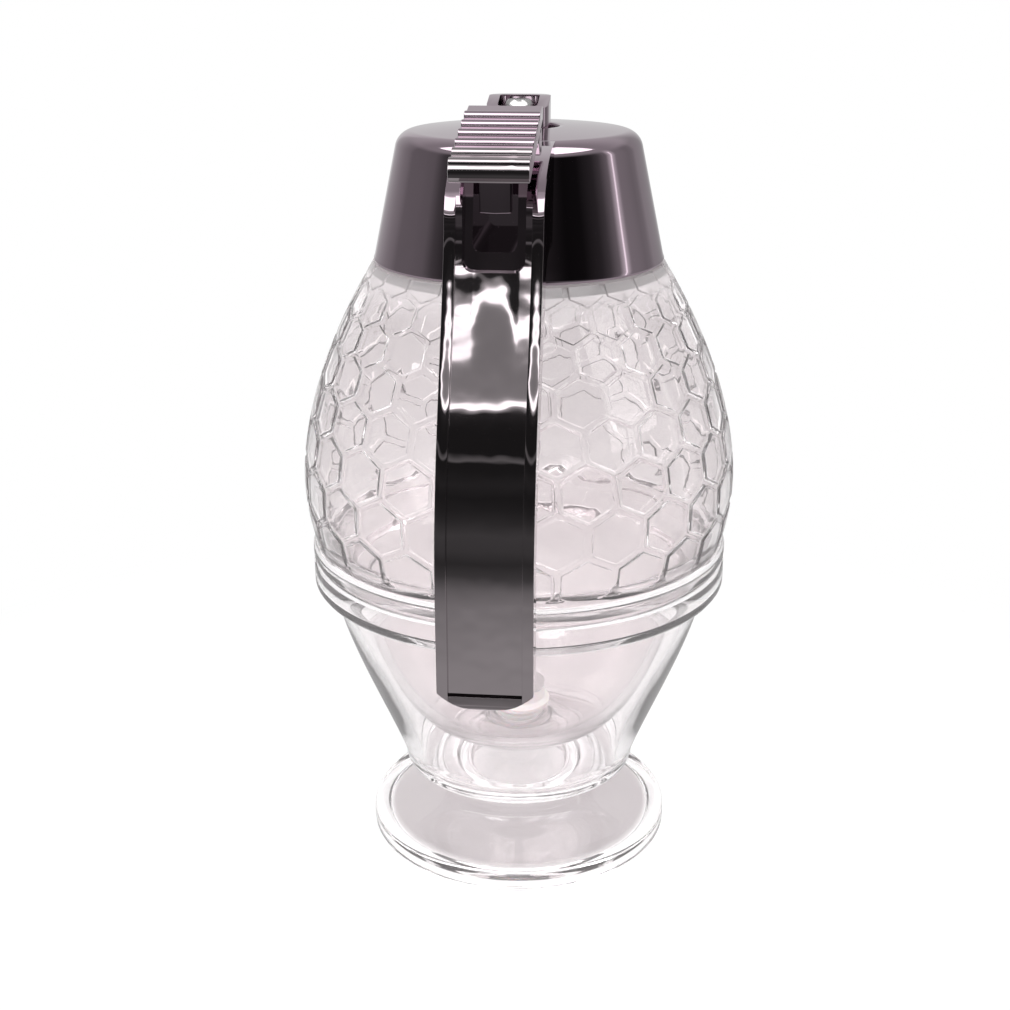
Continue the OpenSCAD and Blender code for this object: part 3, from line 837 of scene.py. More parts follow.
# ---------------------------------------------------------------- stand
@dataclass
class Stand:
    """The clear footed cup, sizes in millimetres."""

    foot_r: float = 29.3
    foot_edge_h: float = 3.4
    stem_r: float = 15.0
    stem_z: float = 9.5
    cup_base_r: float = 22.6
    cup_base_z: float = 14.6
    cup_top_r: float = 35.6
    rim_r: float = 39.0
    rim_z: float = RIM_Z
    rim_band_h: float = 8.5
    cup_wall: float = 1.8
    rounding: float = 0.7
    foot_rounding: float = 0.9
    bead_depth: float = 0.55
    bead_half: float = 0.7
    bead_below: float = 2.7
    plug_gap: float = 0.5
    plug_r: float = PLUG_R

    def cup_line(self, inset: float) -> List[Point]:
        """The cup's side in section.

        Args:
            inset: Distance inside the outer side.

        Returns:
            The points from the base up.
        """
        return bend((self.cup_base_r - inset, self.cup_base_z + 1.8 + inset),
                    (self.cup_base_r + 3.4 - inset, self.cup_base_z + 12 + inset),
                    (self.cup_top_r - 1.8 - inset, self.rim_z - 20),
                    (self.cup_top_r - inset, self.rim_z - self.rim_band_h - 0.6), 30)

    def section(self) -> List[Point]:
        """The whole section, from the middle of the underside round to the cup's floor.

        Returns:
            The section's points.
        """
        ring_in, cone = self.foot_r - 3.1, self.foot_r - 2.9
        cavity, edge_h, rim = self.stem_r - 4, self.foot_edge_h, self.rim_r
        low, top = self.rim_z - self.rim_band_h, self.rim_z - self.rounding
        small, round_r = self.rounding, self.foot_rounding
        outside = [(0, self.stem_z + 1), *arc((cavity - 2, self.stem_z - 1), 2, 90, 0, 6)]
        outside += bend((cavity + 0.4, self.stem_z - 3), (cavity + 2, edge_h + 0.6),
                        (ring_in - 8, 1.7), (ring_in - 2, 1.4), 16)
        outside += [(ring_in, 1.1), (ring_in, 0.3), (ring_in + 0.3, 0), (self.foot_r - small, 0)]
        outside += arc((self.foot_r - small, small), small, -90, 0, 5)[1:]
        outside += arc((self.foot_r - round_r, edge_h - 0.5), round_r, 0, 90, 8)
        outside += [(cone + 1.2, edge_h + 0.4), (cone + 0.4, edge_h + 0.1), (cone, edge_h - 0.2)]
        outside += bend((cone - 0.6, edge_h - 0.1), (self.stem_r + 4, edge_h + 1.6),
                        (self.stem_r + 0.2, self.stem_z - 3), (self.stem_r, self.stem_z), 24)
        outside += bend((self.stem_r, self.stem_z + 0.6), (self.stem_r + 0.2, self.stem_z + 3),
                        (self.stem_r + 2, self.cup_base_z - 0.8),
                        (self.cup_base_r - 1.6, self.cup_base_z - 0.2), 12)
        outside += arc((self.cup_base_r - 1, self.cup_base_z + 0.9), 1, -90, 0, 8)
        outside += self.cup_line(0)
        outside += [(rim - 1.4, low), (rim - 0.5, low + 0.3), (rim, low + 1)]
        outside += [(rim, low + 1.6), *self.bead(), (rim, top)]
        outside += arc((rim - small, top), small, 0, 90, 5)[1:]
        inner = self.plug_r + self.plug_gap
        inside = [(inner + 0.4, self.rim_z), (inner, self.rim_z - 0.4), (inner, low + 1.4)]
        inside += self.cup_line(self.cup_wall)[::-1]
        inside += arc((self.cup_base_r - self.cup_wall - 2, self.cup_base_z + 1.8 + self.cup_wall),
                      2, 0, -90, 8)
        return outside + inside + [(0, self.cup_base_z + self.cup_wall - 0.2)]

    def bead(self, steps: int = 8) -> List[Point]:
        """The round groove in the rim band, as points from below.

        Args:
            steps: Number of steps.

        Returns:
            The section's points.
        """
        half, middle = self.bead_half, self.rim_z - self.bead_below
        return [(self.rim_r - self.bead_depth * math.sin(math.pi * i / steps),
                 middle - half + 2 * half * i / steps) for i in range(steps + 1)]

    def build(self) -> None:
        """Turns the section and dresses it."""
        stand = Workpiece("clear_stand").spin(self.section(), ROUND_STEPS)
        stand.done(CLEAR_FOOT, Body.STAND, Slot.CLEAR, "stand", 50)


# ---------------------------------------------------------------- jar
@dataclass
class Jar:
    """The clear egg-shaped jar with its raised honeycomb, sizes in millimetres."""

    belly_r: float = 40.0
    belly_z: float = 74.0
    collar_r: float = 26.1
    collar_z: float = 113.5
    seat_draw: float = 1.9
    rim_z: float = RIM_Z
    wall: float = 1.8
    neck_r: float = 19.0
    neck_top_z: float = 124.0
    neck_wall: float = 1.8
    plug_r: float = PLUG_R
    plug_h: float = 4.0
    spout_r: float = 6.5
    spout_z: float = 18.6
    outlet_r: float = 4.0
    seat_z: float = 20.0
    seat_h: float = 2.6
    cells: int = 24
    comb_low_z: float = 63.6
    comb_rows: float = 7.4
    first_cut: float = 0.7
    groove: float = 0.0575
    pillow: Tuple[Point, ...] = (
        (0.868, 0.28), (0.852, 0.72), (0.834, 0.97), (0.8, 1.0), (0.55, 1.0), (0.25, 1.0))
    relief: float = 0.32
    turn_deg: float = 14.2
    thread_pitch: float = 3.0
    thread_turns: float = 1.5
    thread_half: Tuple[Point, ...] = ((0.0, 0.85), (0.55, 0.42), (0.74, 0.16))

    def side_r(self, height: float) -> float:
        """Outer radius of the jar between its seat and its shoulder.

        Args:
            height: Height on the jar.

        Returns:
            The radius.
        """
        if height > self.belly_z:
            share = (height - self.belly_z) / (self.collar_z - self.belly_z)
            return self.belly_r - (self.belly_r - self.collar_r) * share ** 1.77
        return self.belly_r - self.seat_draw * ((self.belly_z - height) / (self.belly_z - self.rim_z)) ** 2

    def slope(self, height: float) -> float:
        """How fast that radius grows with the height."""
        return (self.side_r(height + 0.01) - self.side_r(height - 0.01)) / 0.02

    def side(self, inset: float, low: float, high: float, steps: int) -> List[Point]:
        """The jar's side in section, from low to high.

        Args:
            inset: Distance inside the outer side.
            low: Height of the first point.
            high: Height of the last point.
            steps: Number of steps.

        Returns:
            The section's points.
        """
        heights = [low + (high - low) * i / steps for i in range(steps + 1)]
        return [(self.side_r(z) - inset, z) for z in heights]

    def bowl(self, inset: float) -> List[Point]:
        """The rounded lower part that hangs in the stand, from the spout up.

        Args:
            inset: Distance inside the outer side.

        Returns:
            The section's points.
        """
        low = self.spout_z + 2.2 + inset
        return bend((self.spout_r + 2.6 - inset / 4, low), (25 - inset, low + 3),
                    (self.plug_r - 6.4 - inset, self.rim_z - 22),
                    (self.plug_r - 5.2 - inset, self.rim_z - self.plug_h - 3.4), 28)

    def lower_outside(self) -> List[Point]:
        """Outer section from the honeycomb's lower end down to the outlet.

        Returns:
            The section's points.
        """
        seat = self.rim_z + 0.1
        plug_low = self.rim_z - self.plug_h
        points = self.side(0, self.comb_low_z, seat + 0.4, 5)
        points += [(self.side_r(seat) - 0.3, seat), (self.plug_r + 0.1, seat), (self.plug_r, seat - 0.2),
                   (self.plug_r, plug_low + 0.6), (self.plug_r - 0.6, plug_low)]
        points += self.bowl(0)[::-1]
        points += [(self.spout_r + 0.8, self.spout_z + 2.2), (self.spout_r, self.spout_z + 1.6),
                   (self.spout_r, self.spout_z + 0.5), (self.spout_r - 0.5, self.spout_z)]
        return points

    def inside(self) -> List[Point]:
        """Inner section from the outlet up to the neck's mouth.

        Returns:
            The section's points.
        """
        seat = self.rim_z + 0.1
        points = [(self.outlet_r, self.spout_z), (self.outlet_r, self.seat_z),
                  (self.outlet_r + self.seat_h * 0.75, self.seat_z + self.seat_h)]
        points += self.bowl(self.wall)
        points += [(self.plug_r - self.wall, self.rim_z - self.plug_h + 1.6),
                   (self.plug_r - self.wall, seat)]
        points += self.side(self.wall, seat + self.wall + 0.6, self.collar_z - 2, 30)
        bore = self.neck_r - self.neck_wall
        points += [(bore + 1.2, self.collar_z - self.wall), (bore, self.collar_z - 0.4),
                   (bore, self.neck_top_z - 0.5), (bore + 0.5, self.neck_top_z)]
        return points

    def neck(self) -> List[Point]:
        """Outer section from the neck's mouth down to the shoulder.

        Returns:
            The section's points.
        """
        top = self.neck_top_z
        return [(self.neck_r - 0.5, top), (self.neck_r, top - 0.5), (self.neck_r, self.collar_z + 0.4),
                (self.neck_r + 0.4, self.collar_z), (self.collar_r - 0.8, self.collar_z)]

    def build(self) -> None:
        """Makes the honeycomb sheet, wraps it, closes it with the plain parts and dresses it."""
        piece = self.comb_sheet()
        self.wrap(piece)
        self.close(piece)
        piece.join(self.thread()).done(CLEAR, Body.JAR, Slot.CLEAR, "jar", 50)

    def thread(self) -> Workpiece:
        """The screw thread's rib on the neck.

        Returns:
            The rib, closed at both ends.
        """
        low = self.collar_z + 2.6
        section = [(self.neck_r + out, low - z) for out, z in self.thread_half]
        section += [(self.neck_r + out, low + z) for out, z in self.thread_half[::-1]]
        return Workpiece("thread").helix(section, self.thread_turns, self.thread_pitch)

    def comb_sheet(self) -> Workpiece:
        """A flat sheet of raised hexagons, one unit wide each, with grooves between them.

        Returns:
            The sheet, cut level at its lower and upper end.
        """
        piece = Workpiece("honeycomb_jar")
        bpy.ops.mesh.primitive_circle_add(vertices=6, radius=1 / math.sqrt(3), fill_type="NGON")
        piece.take()
        piece.edit()
        bpy.ops.mesh.subdivide(number_cuts=2)
        bpy.ops.mesh.select_mode(type="FACE")
        bpy.ops.mesh.select_all(action="SELECT")
        bpy.ops.mesh.inset(thickness=self.groove, depth=0, use_even_offset=True)
        size, level = 1 - 2 * self.groove, 0.0
        for next_size, next_level in self.pillow:
            grow = next_size / size
            bpy.ops.mesh.extrude_region_move(TRANSFORM_OT_translate={"value": (0, 0, next_level - level)})
            bpy.ops.transform.resize(value=(grow, grow, 1), center_override=(0, 0, 0))
            size, level = next_size, next_level
        bpy.ops.mesh.poke()
        bpy.ops.mesh.select_all(action="SELECT")
        bpy.ops.mesh.duplicate_move(TRANSFORM_OT_translate={"value": (0.5, ROW, 0)})
        piece.leave()
        piece.repeat(math.ceil((self.first_cut + self.comb_rows + 1) / 2), (0, 2 * ROW, 0))
        piece.repeat(self.cells, (1, 0, 0))
        piece.edit()
        bpy.ops.mesh.remove_doubles(threshold=1e-4)
        start = ROW * self.first_cut
        for cut, inner in ((start, True), (start + ROW * self.comb_rows, False)):
            bpy.ops.mesh.select_all(action="SELECT")
            bpy.ops.mesh.bisect(plane_co=(0, cut, 0), plane_no=(0, 1, 0), use_fill=False,
                                clear_inner=inner, clear_outer=not inner, threshold=1e-5)
        return piece.leave()

    def wrap(self, piece: Workpiece) -> None:
        """Lays the flat sheet round the jar so that its hexagons stay regular all the way up.

        Args:
            piece: The sheet.
        """
        step, heights = 0.02, [self.comb_low_z]
        while heights[-1] < self.collar_z - 0.05:
            z = heights[-1]
            width = math.tau * self.side_r(z) / self.cells
            heights.append(z + step * width / math.hypot(1, self.slope(z)))
        last = len(heights) - 1
        for vertex in piece.thing.data.vertices:
            x, y, lift = vertex.co
            place = min(max((y / ROW - self.first_cut) / self.comb_rows * last, 0.0), float(last))
            i = min(int(place), last - 1)
            z = heights[i] + (heights[i + 1] - heights[i]) * (place - i)
            r, slope = self.side_r(z), self.slope(z)
            drop = (1 - lift) * self.relief * (0.55 + 0.45 * r / self.belly_r) / math.hypot(1, slope)
            angle = math.radians(self.turn_deg) + x / self.cells * math.tau
            vertex.co = on_ring(r - drop, angle, z + drop * slope)
        piece.edit()
        bpy.ops.mesh.remove_doubles(threshold=2e-5)
        piece.leave()

    def close(self, piece: Workpiece) -> None:
        """Carries the sheet's lower edge round the bowl and up inside, and bridges it to its upper edge.

        Args:
            piece: The wrapped sheet.
        """
        mesh = piece.thing.data
        middle = (self.comb_low_z + self.collar_z) / 2 * MM
        piece.choose_edges([number for number in piece.open_edges()
                            if mesh.vertices[mesh.edges[number].vertices[0]].co.z < middle])
        path = self.lower_outside() + self.inside() + self.neck()
        for number, ((last_r, last_z), (r, z)) in enumerate(zip(path, path[1:])):
            if number == 1:  # the first step has left the sheet's uneven edge
                self.settle(piece, last_r, last_z)
            bpy.ops.mesh.extrude_edges_move(TRANSFORM_OT_translate={"value": (0, 0, (z - last_z) * MM)})
            bpy.ops.transform.resize(value=(r / last_r, r / last_r, 1), center_override=(0, 0, z * MM))
        piece.leave()
        piece.choose_edges(piece.open_edges())
        bpy.ops.mesh.bridge_edge_loops()
        piece.leave(True)

    @staticmethod
    def settle(piece: Workpiece, radius: float, height: float) -> None:
        """Puts the selected ring's vertices evenly on one circle, in their order, during edit mode.

        Args:
            piece: The workpiece.
            radius: Radius of the circle.
            height: Height of the circle.
        """
        piece.leave()
        ring = [v for v in piece.thing.data.vertices if v.select]
        ring.sort(key=lambda v: math.atan2(v.co.y, v.co.x))
        start = math.atan2(ring[0].co.y, ring[0].co.x)
        for number, vertex in enumerate(ring):
            vertex.co = on_ring(radius, start + math.tau * number / len(ring), height)
        piece.edit(False)


# ---------------------------------------------------------------- cap
@dataclass
class Cap:
    """The plated cap with its handle, and the pieces inside it, sizes in millimetres."""

    base_r: float = 25.9
    top_r: float = 21.0
    low_z: float = 113.8
    edge_z: float = 136.2
    edge_r: float = 3.3
    dome_h: float = 0.8
    wall: float = 1.8
    hole_r: float = 7.0
    plate_top_z: float = 127.2
    handle_drop: float = 1.8
    handle_w: float = 15.0
    handle_t: float = 5.4
    shoulder: float = 43.4
    reach: float = 60.5
    end_z: float = 54.5
    rail_w: float = 1.75
    rail_h: float = 2.2
    panel_d: float = 0.7
    end_round: float = 1.2
    front_round: float = 11.0
    slot_w: float = SLOT_W
    slot_z: float = SLOT_Z
    slot_back: float = 30.0
    ledge_w: float = 1.4
    ledge_h: float = 2.6
    ledge_d: float = 0.9
    ledge_lean: float = 0.25
    lug_r: float = 2.3
    lug_w: float = 2.2
    lug_gap: float = 0.2
    rib_w: float = 1.4
    pivot: Point = PIVOT
    arm_w: float = ARM_W

    def side_r(self, height: float) -> float:
        """Outer radius of the cone at a height."""
        return self.base_r - (self.base_r - self.top_r) * (height - self.low_z) / (self.edge_z - self.low_z)

    def cone_deg(self) -> float:
        """Slope of the cone from the upright, in degrees."""
        return math.degrees(math.atan2(self.base_r - self.top_r, self.edge_z - self.low_z))

    def edge_middle(self) -> Point:
        """Centre of the rounded upper edge, whose round runs into the cone."""
        z = self.edge_z - self.edge_r
        return self.side_r(z) - self.edge_r / math.cos(math.radians(self.cone_deg())), z

    def dome_z(self, radius: float) -> float:
        """Height of the domed top at a radius."""
        return self.edge_z + self.dome_h * (1 - (radius / self.edge_middle()[0]) ** 2)

    def dome(self, start: float, end: float, drop: float, steps: int = 14) -> List[Point]:
        """The domed top in section.

        Args:
            start: First radius.
            end: Last radius.
            drop: Depth below the outer face.
            steps: Number of steps.

        Returns:
            The points.
        """
        radii = [start + (end - start) * i / steps for i in range(steps + 1)]
        return [(r, self.dome_z(r) - drop) for r in radii]

    def skin(self) -> List[Point]:
        """The whole section of the cap's cone and dome.

        Returns:
            The section's points.
        """
        centre, low = self.edge_middle(), self.low_z
        top_deg = 90 - math.degrees(math.atan2(2 * self.dome_h, centre[0]))
        points = [(self.base_r - self.wall, low + 0.2), (self.base_r - self.wall + 0.2, low)]
        points += [(self.base_r - 0.5, low), (self.base_r - 0.12, low + 0.14)]
        points += [(self.base_r - 0.02, low + 0.5)]
        points += [(self.side_r(low + 1 + 2 * i), low + 1 + 2 * i) for i in range(9)]
        points += arc(centre, self.edge_r, self.cone_deg(), top_deg, 18)
        points += self.dome(centre[0] - 0.6, self.hole_r + 0.4, 0)
        mouth = self.dome_z(self.hole_r)
        points += [(self.hole_r + 0.1, mouth - 0.12), (self.hole_r, mouth - 0.4)]
        points += self.dome(self.hole_r, centre[0] - 0.4, self.wall)
        points += arc(centre, self.edge_r - self.wall, 80, self.cone_deg(), 5)
        points += [(self.side_r(low + 2) - self.wall, low + 2)]
        return points

    def outer_line(self) -> List[Point]:
        """The handle's outer face from the cap down, as distance from the axis and height.

        Returns:
            The line's points.
        """
        z, bar, reach, out = self.edge_z, self.edge_z - self.handle_drop, self.reach, self.shoulder
        corner = self.end_z + self.end_round
        line = [(14.5, z - 0.2)]
        line += bend((self.edge_middle()[0], z - 0.05), (30, z - 0.2), (out, z - 1.4), (out, bar - 8.8), 22)
        line += bend((out + 0.8, bar - 11.5), (out + 7.1, bar - 30), (reach, bar - 42), (reach, bar - 62), 26)
        line += [(reach, bar - 70), (reach, corner)]
        return line + arc((reach - self.end_round, corner), self.end_round, 0, -90, 6)[1:]

    def inner_line(self) -> List[Point]:
        """The handle's inner face from its lower end up into the cap's wall.

        Returns:
            The line's points.
        """
        z, bar, out = self.edge_z, self.edge_z - self.handle_drop, self.shoulder
        inner = self.reach - self.handle_t
        half, round_r = self.handle_w / 2, self.end_round
        wall = [(math.sqrt((self.side_r(h) - 0.25) ** 2 - half ** 2), h)
                for h in (bar - 14, bar - 11, bar - 8, bar - 5, bar - 2.4)]
        line = arc((inner + round_r, self.end_z + round_r), round_r, -90, -180, 6)
        line += bend((inner, bar - 60), (inner, bar - 46), (out + 0.6, bar - 30), (out - 4.4, bar - 19), 24)
        line += bend((out - 5.8, bar - 16.4), (out - 8, bar - 13.4), (31, bar - 13.4),
                     (wall[0][0] + 0.4, bar - 14), 12)
        return line + wall + [(19.9, z - 2.8), (19.3, z - 1.8), (18.6, z - 1.25), (14.6, z - 1)]

    @staticmethod
    def sunk(line: Sequence[Point], depth: Callable[[float], float]) -> List[Point]:
        """Moves the points of an outer line inwards.

        Args:
            line: The line, from the cap down.
            depth: Depth at a height.

        Returns:
            The moved points.
        """
        moved = []
        for number, (y, z) in enumerate(line):
            before, after = line[max(number - 1, 0)], line[min(number + 1, len(line) - 1)]
            run, fall = after[0] - before[0], after[1] - before[1]
            share = depth(z) / max(math.hypot(run, fall), 1e-6)
            moved.append((y + fall * share, z - run * share))
        return moved

    def front_outline(self) -> List[Point]:
        """The handle's outline seen from the front, with its lower corners rounded.

        Returns:
            The outline's points.
        """
        half, round_r = self.handle_w / 2, self.front_round
        spread = math.degrees(math.asin(half / round_r))
        low = arc((0, self.end_z + round_r), round_r, -90 - spread, -90 + spread, 16)
        return low + [(half, self.edge_z + 4), (-half, self.edge_z + 4)]

    @staticmethod
    def through(outline: Sequence[Point], far: float, lean: float = 0.0) -> Workpiece:
        """A cutter: a front outline extruded along Y, from outside the handle inwards.

        Args:
            outline: X and height of its points.
            far: Distance of its inner end from the axis, at the outline's lowest point.
            lean: How far the inner end leans back for each unit of height.

        Returns:
            The cutter.
        """
        near = 80.0  # outside the handle
        tool = Workpiece("cutter").extrude([(x, -near, z) for x, z in outline], (0, near - far, 0))
        lowest = min(z for _, z in outline) * MM
        for vertex in tool.thing.data.vertices:
            if vertex.co.y > -(near + far) / 2 * MM:
                vertex.co.y += (vertex.co.z - lowest) * lean
        return tool

    @staticmethod
    def trough(half: float, low: float, high: float, corner: float) -> List[Point]:
        """Outline of a slot with rounded lower corners."""
        return (arc((-half + corner, low + corner), corner, 180, 270, 5)
                + arc((half - corner, low + corner), corner, 270, 360, 5) + [(half, high), (-half, high)])

    def rail_line(self) -> List[Point]:
        """Side outline of the borders, which rise out of the panel under the thumb pad.

        Returns:
            The outline's points.
        """
        bar = self.edge_z - self.handle_drop
        strip = [p for p in self.outer_line() if p[0] > self.shoulder - 6 and p[1] > self.end_z + 0.9]
        face = self.sunk(strip, lambda z: self.panel_d * ease(z, bar - 3, bar - 0.4))
        return face + self.sunk(strip, lambda z: self.rail_h)[::-1]

    def foot_line(self) -> List[Point]:
        """Side outline of the lower border.

        Returns:
            The outline's points.
        """
        low, corner, back = self.end_z, self.end_z + self.end_round, self.reach - 2.6
        return [(back, low + 2.5), (self.reach - 0.1, low + 2.5), (self.reach, corner),
                *arc((self.reach - self.end_round, corner), self.end_round, 0, -90, 6)[1:], (back, low)]

    def handle(self) -> List[Workpiece]:
        """The handle: a core with the slot for the lever's leg, and the raised borders round its panel.

        Returns:
            The core, two side borders and the lower border.
        """
        bar = self.edge_z - self.handle_drop
        core_line = self.sunk(self.outer_line(), lambda z: self.panel_d * (1 - ease(z, bar - 8, bar - 4)))
        core = Workpiece("handle").across(core_line + self.inner_line(), self.handle_w - 0.06)
        middle = (self.handle_w - self.rail_w) / 2
        borders = [Workpiece("rail").across(self.rail_line(), self.rail_w, x) for x in (-middle, middle)]
        borders.append(Workpiece("lower_border").across(self.foot_line(), self.handle_w - 0.04))
        front = self.through(self.front_outline(), 10)
        for piece in (core, *borders):
            piece.keep_within(front)
        front.drop()
        top, half = self.edge_z + 8, self.slot_w / 2
        slot = self.trough(half, self.slot_z, top, 1.3)
        ledge = self.trough(half + self.ledge_w, self.slot_z - self.ledge_h, top, 1.8)
        core.cut(self.through(slot, self.slot_back))
        core.cut(self.through(ledge, self.shoulder - self.ledge_d, self.ledge_lean))
        core.round_edges(0.3, 3, 38)
        return [core, *(border.round_edges(0.6, 4, 38) for border in borders)]

    def lugs(self) -> List[Workpiece]:
        """The two lugs that hold the lever's pin.

        Returns:
            Both lugs.
        """
        y, z = self.pivot
        outline = arc((y, z), self.lug_r, 0, 180, 14)
        outline += [(y - 3.7, self.dome_z(y - 4) - 1), (y + 3.7, self.edge_z - 1)]
        aside = (self.arm_w + self.lug_w) / 2 + self.lug_gap
        return [Workpiece("lug").across(outline, self.lug_w, x).round_edges(0.3, 2, 50)
                for x in (-aside, aside)]

    def ribs(self) -> List[Workpiece]:
        """The inner ribs that bear on the liner's plate.

        Returns:
            The six ribs.
        """
        outer = self.edge_middle()[0] + 0.6
        outline = [(10, self.plate_top_z), (outer, self.plate_top_z),
                   *self.dome(outer, 10, self.wall - 0.3, 5)]
        made = []
        for degrees in range(30, 360, 60):
            rib = Workpiece("rib").across(outline, self.rib_w)
            rib.thing.rotation_euler = (0, 0, math.radians(degrees))
            bpy.ops.object.transform_apply(location=False, rotation=True, scale=False)
            made.append(rib)
        return made

    def build(self) -> None:
        """Makes the shell with its handle and dresses the pieces inside it."""
        shell = Workpiece("plated_cap").spin(self.skin(), ROUND_STEPS)
        shell.join(*self.handle(), *self.lugs(), *self.ribs())
        shell.done(PLATED, Body.CAP, Slot.PLATED, "cap_shell", 34, weigh=True)
        dress(WHITE, "cap_liner")
        dress(IVORY, "rod_guide_bush", "spring_cover")
        dress(SEAL, "rod_seal")
        dress(STEEL, "lever_pivot_pin")
        dress(SILICONE, "neck_gasket")


# ---------------------------------------------------------------- lever and rod
@dataclass
class ThumbLever:
    """The plated thumb lever, sizes in millimetres."""

    pivot: Point = PIVOT
    hub_r: float = 1.9
    arm_w: float = ARM_W
    pad_w: float = 11.8
    pad_in: Point = (24.0, 142.3)
    pad_out: Point = (49.5, 136.1)
    pad_t: float = 2.2
    land: float = 4.6
    ribs: int = 6
    rib_r: float = 0.9
    lip_h: float = 2.4
    socket_w: float = 10.7
    socket_wall: float = 1.9
    socket_h: float = 5.7
    front_h: float = 4.2
    rod_hole_r: float = 2.4
    floor_z: float = 136.0
    leg_y: float = 39.5
    leg_h: float = 9.0
    slot_w: float = SLOT_W
    slot_z: float = SLOT_Z

    def pad_outline(self) -> List[Point]:
        """Side outline of the pad, its ribs and its lip.

        Returns:
            The outline's points.
        """
        (y0, z0), (y1, z1) = self.pad_in, self.pad_out
        length = math.hypot(y1 - y0, z1 - z0)
        way = ((y1 - y0) / length, (z1 - z0) / length)
        tilt = math.degrees(math.atan2(way[1], way[0]))
        pitch = (length - self.land - 2 * self.rib_r) / (self.ribs - 1)
        points: List[Point] = [(y0 + 0.15, z0 - 0.04)]
        for number in range(self.ribs):
            s = self.land + self.rib_r + number * pitch
            centre = (y0 + way[0] * s, z0 + way[1] * s)
            points += arc(centre, self.rib_r, 172 + tilt, 8 + tilt, 10)
        lip_y, lip_z = y1 + 0.6, z1 - self.lip_h
        return points + [
            (y1 + 0.25, z1 - 0.1), (lip_y, z1 - 0.6), (lip_y, lip_z + 0.75), (lip_y - 0.4, lip_z + 0.3),
            (lip_y - 0.4, lip_z), (lip_y - 1.5, lip_z), (lip_y - 1.8, z1 - self.pad_t),
            (y0 + 0.6, z0 - self.pad_t), (y0, z0 - 0.5)]

    def arm_outline(self) -> List[Point]:
        """Side outline of the arm from the socket over the pin to the pad.

        Returns:
            The outline's points.
        """
        y, z = self.pivot
        y0, z0 = self.pad_in
        front_z, out_y = self.floor_z + self.front_h, y0 + 12
        slope = (self.pad_out[1] - z0) / (self.pad_out[0] - y0)
        out_z = z0 + slope * 12 - self.pad_t
        inner = self.socket_w / 2 - 1
        return [(inner, z - 0.6), (y - 3, z - 1.3), *arc((y, z), self.hub_r, 225, 300, 8),
                (y0, z0 - self.pad_t - 1.4), (out_y, out_z - 1.2), (out_y, out_z + 0.4), (y0, z0 - 0.4),
                (y + 2, front_z + 0.5), (y - 2, front_z), (inner, front_z)]

    @staticmethod
    def rounded_square(half: float, corner: float) -> List[Point]:
        """Plan outline of a square with rounded corners.

        Args:
            half: Half its width.
            corner: Radius of its corners.

        Returns:
            The outline's points.
        """
        ring: List[Point] = []
        for start, (x, y) in zip(range(0, 360, 90), ((1, 1), (-1, 1), (-1, -1), (1, -1))):
            ring += arc((x * (half - corner), y * (half - corner)), corner, start, start + 90, 8)
        return ring

    def socket(self) -> Workpiece:
        """The open box that carries the rod's head, with a rim that falls to the front.

        Returns:
            The socket.
        """
        half, floor = self.socket_w / 2, self.floor_z
        low, top, front = floor - 1.6, floor + self.socket_h, floor + self.front_h
        slope = [(-2, top), (4, front), (half + 3, front), (half + 3, top + 4), (-2, top + 4)]
        box = Workpiece("socket").prism(self.rounded_square(half, 3.0), low, top)
        box.cut(Workpiece("pocket").prism(self.rounded_square(half - self.socket_wall, 1.0), floor, top + 4))
        box.cut(Workpiece("rod_hole").prism(arc((0, 0), self.rod_hole_r, 0, 352.5, 47), low - 2, floor + 2))
        box.cut(Workpiece("rim_slope").across(slope, self.socket_w + 4))
        return box.round_edges(0.35, 3, 40)

    def leg(self) -> Workpiece:
        """The two-faced leg that runs in the handle's slot.

        Returns:
            The leg.
        """
        half, low = (self.slot_w - 2) / 2, self.slot_z + 5.6
        ring = [(-half, 1.4), (-half, -1.2), (0, -1.8), (half, -1.2), (half, 1.4)]
        leg = Workpiece("leg").prism([(x, y - self.leg_y) for x, y in ring], low, low + self.leg_h)
        return leg.round_edges(0.2, 2, 20)

    def build(self) -> None:
        """Makes the pad, arm, leg and socket as one moulding."""
        pad = Workpiece("plated_thumb_lever").across(self.pad_outline(), self.pad_w)
        pad.round_edges(0.2, 2, 50)
        arm = Workpiece("arm").across(self.arm_outline(), self.arm_w).round_edges(0.3, 2, 50)
        pad.join(arm, self.leg(), self.socket())
        pad.done(PLATED, Body.LEVER, Slot.PLATED, "thumb_lever", 34, weigh=True)


@dataclass
class Valve:
    """The pull rod with its spring and stopper, sizes in millimetres."""

    coil_r: float = 3.6
    wire_d: float = 0.8
    coil_turns: float = 6.0
    spring_low_z: float = 116.5
    spring_h: float = 12.4
    stroke: float = 2.5

    def spring(self) -> None:
        """Makes the return spring on the rod's body, with a mesh of its own."""
        rise = (self.spring_h - self.wire_d - 0.1) / self.coil_turns
        ring = arc((self.coil_r, self.spring_low_z + self.wire_d / 2 + 0.05), self.wire_d / 2, 0, 324, 9)
        piece = Workpiece("coil_spring").helix(ring, self.coil_turns, rise, 40)
        thing = piece.done(STEEL, Body.ROD, Slot.STEEL, "return_spring", 60)
        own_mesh(thing)

    def build(self) -> None:
        """Makes the spring and dresses the rod's other pieces."""
        self.spring()
        dress(STEEL, "pull_rod", "rod_head", "rod_clips", "spring_washer", "stopper_plate", "stopper_nut")
        dress(SILICONE, "stopper")


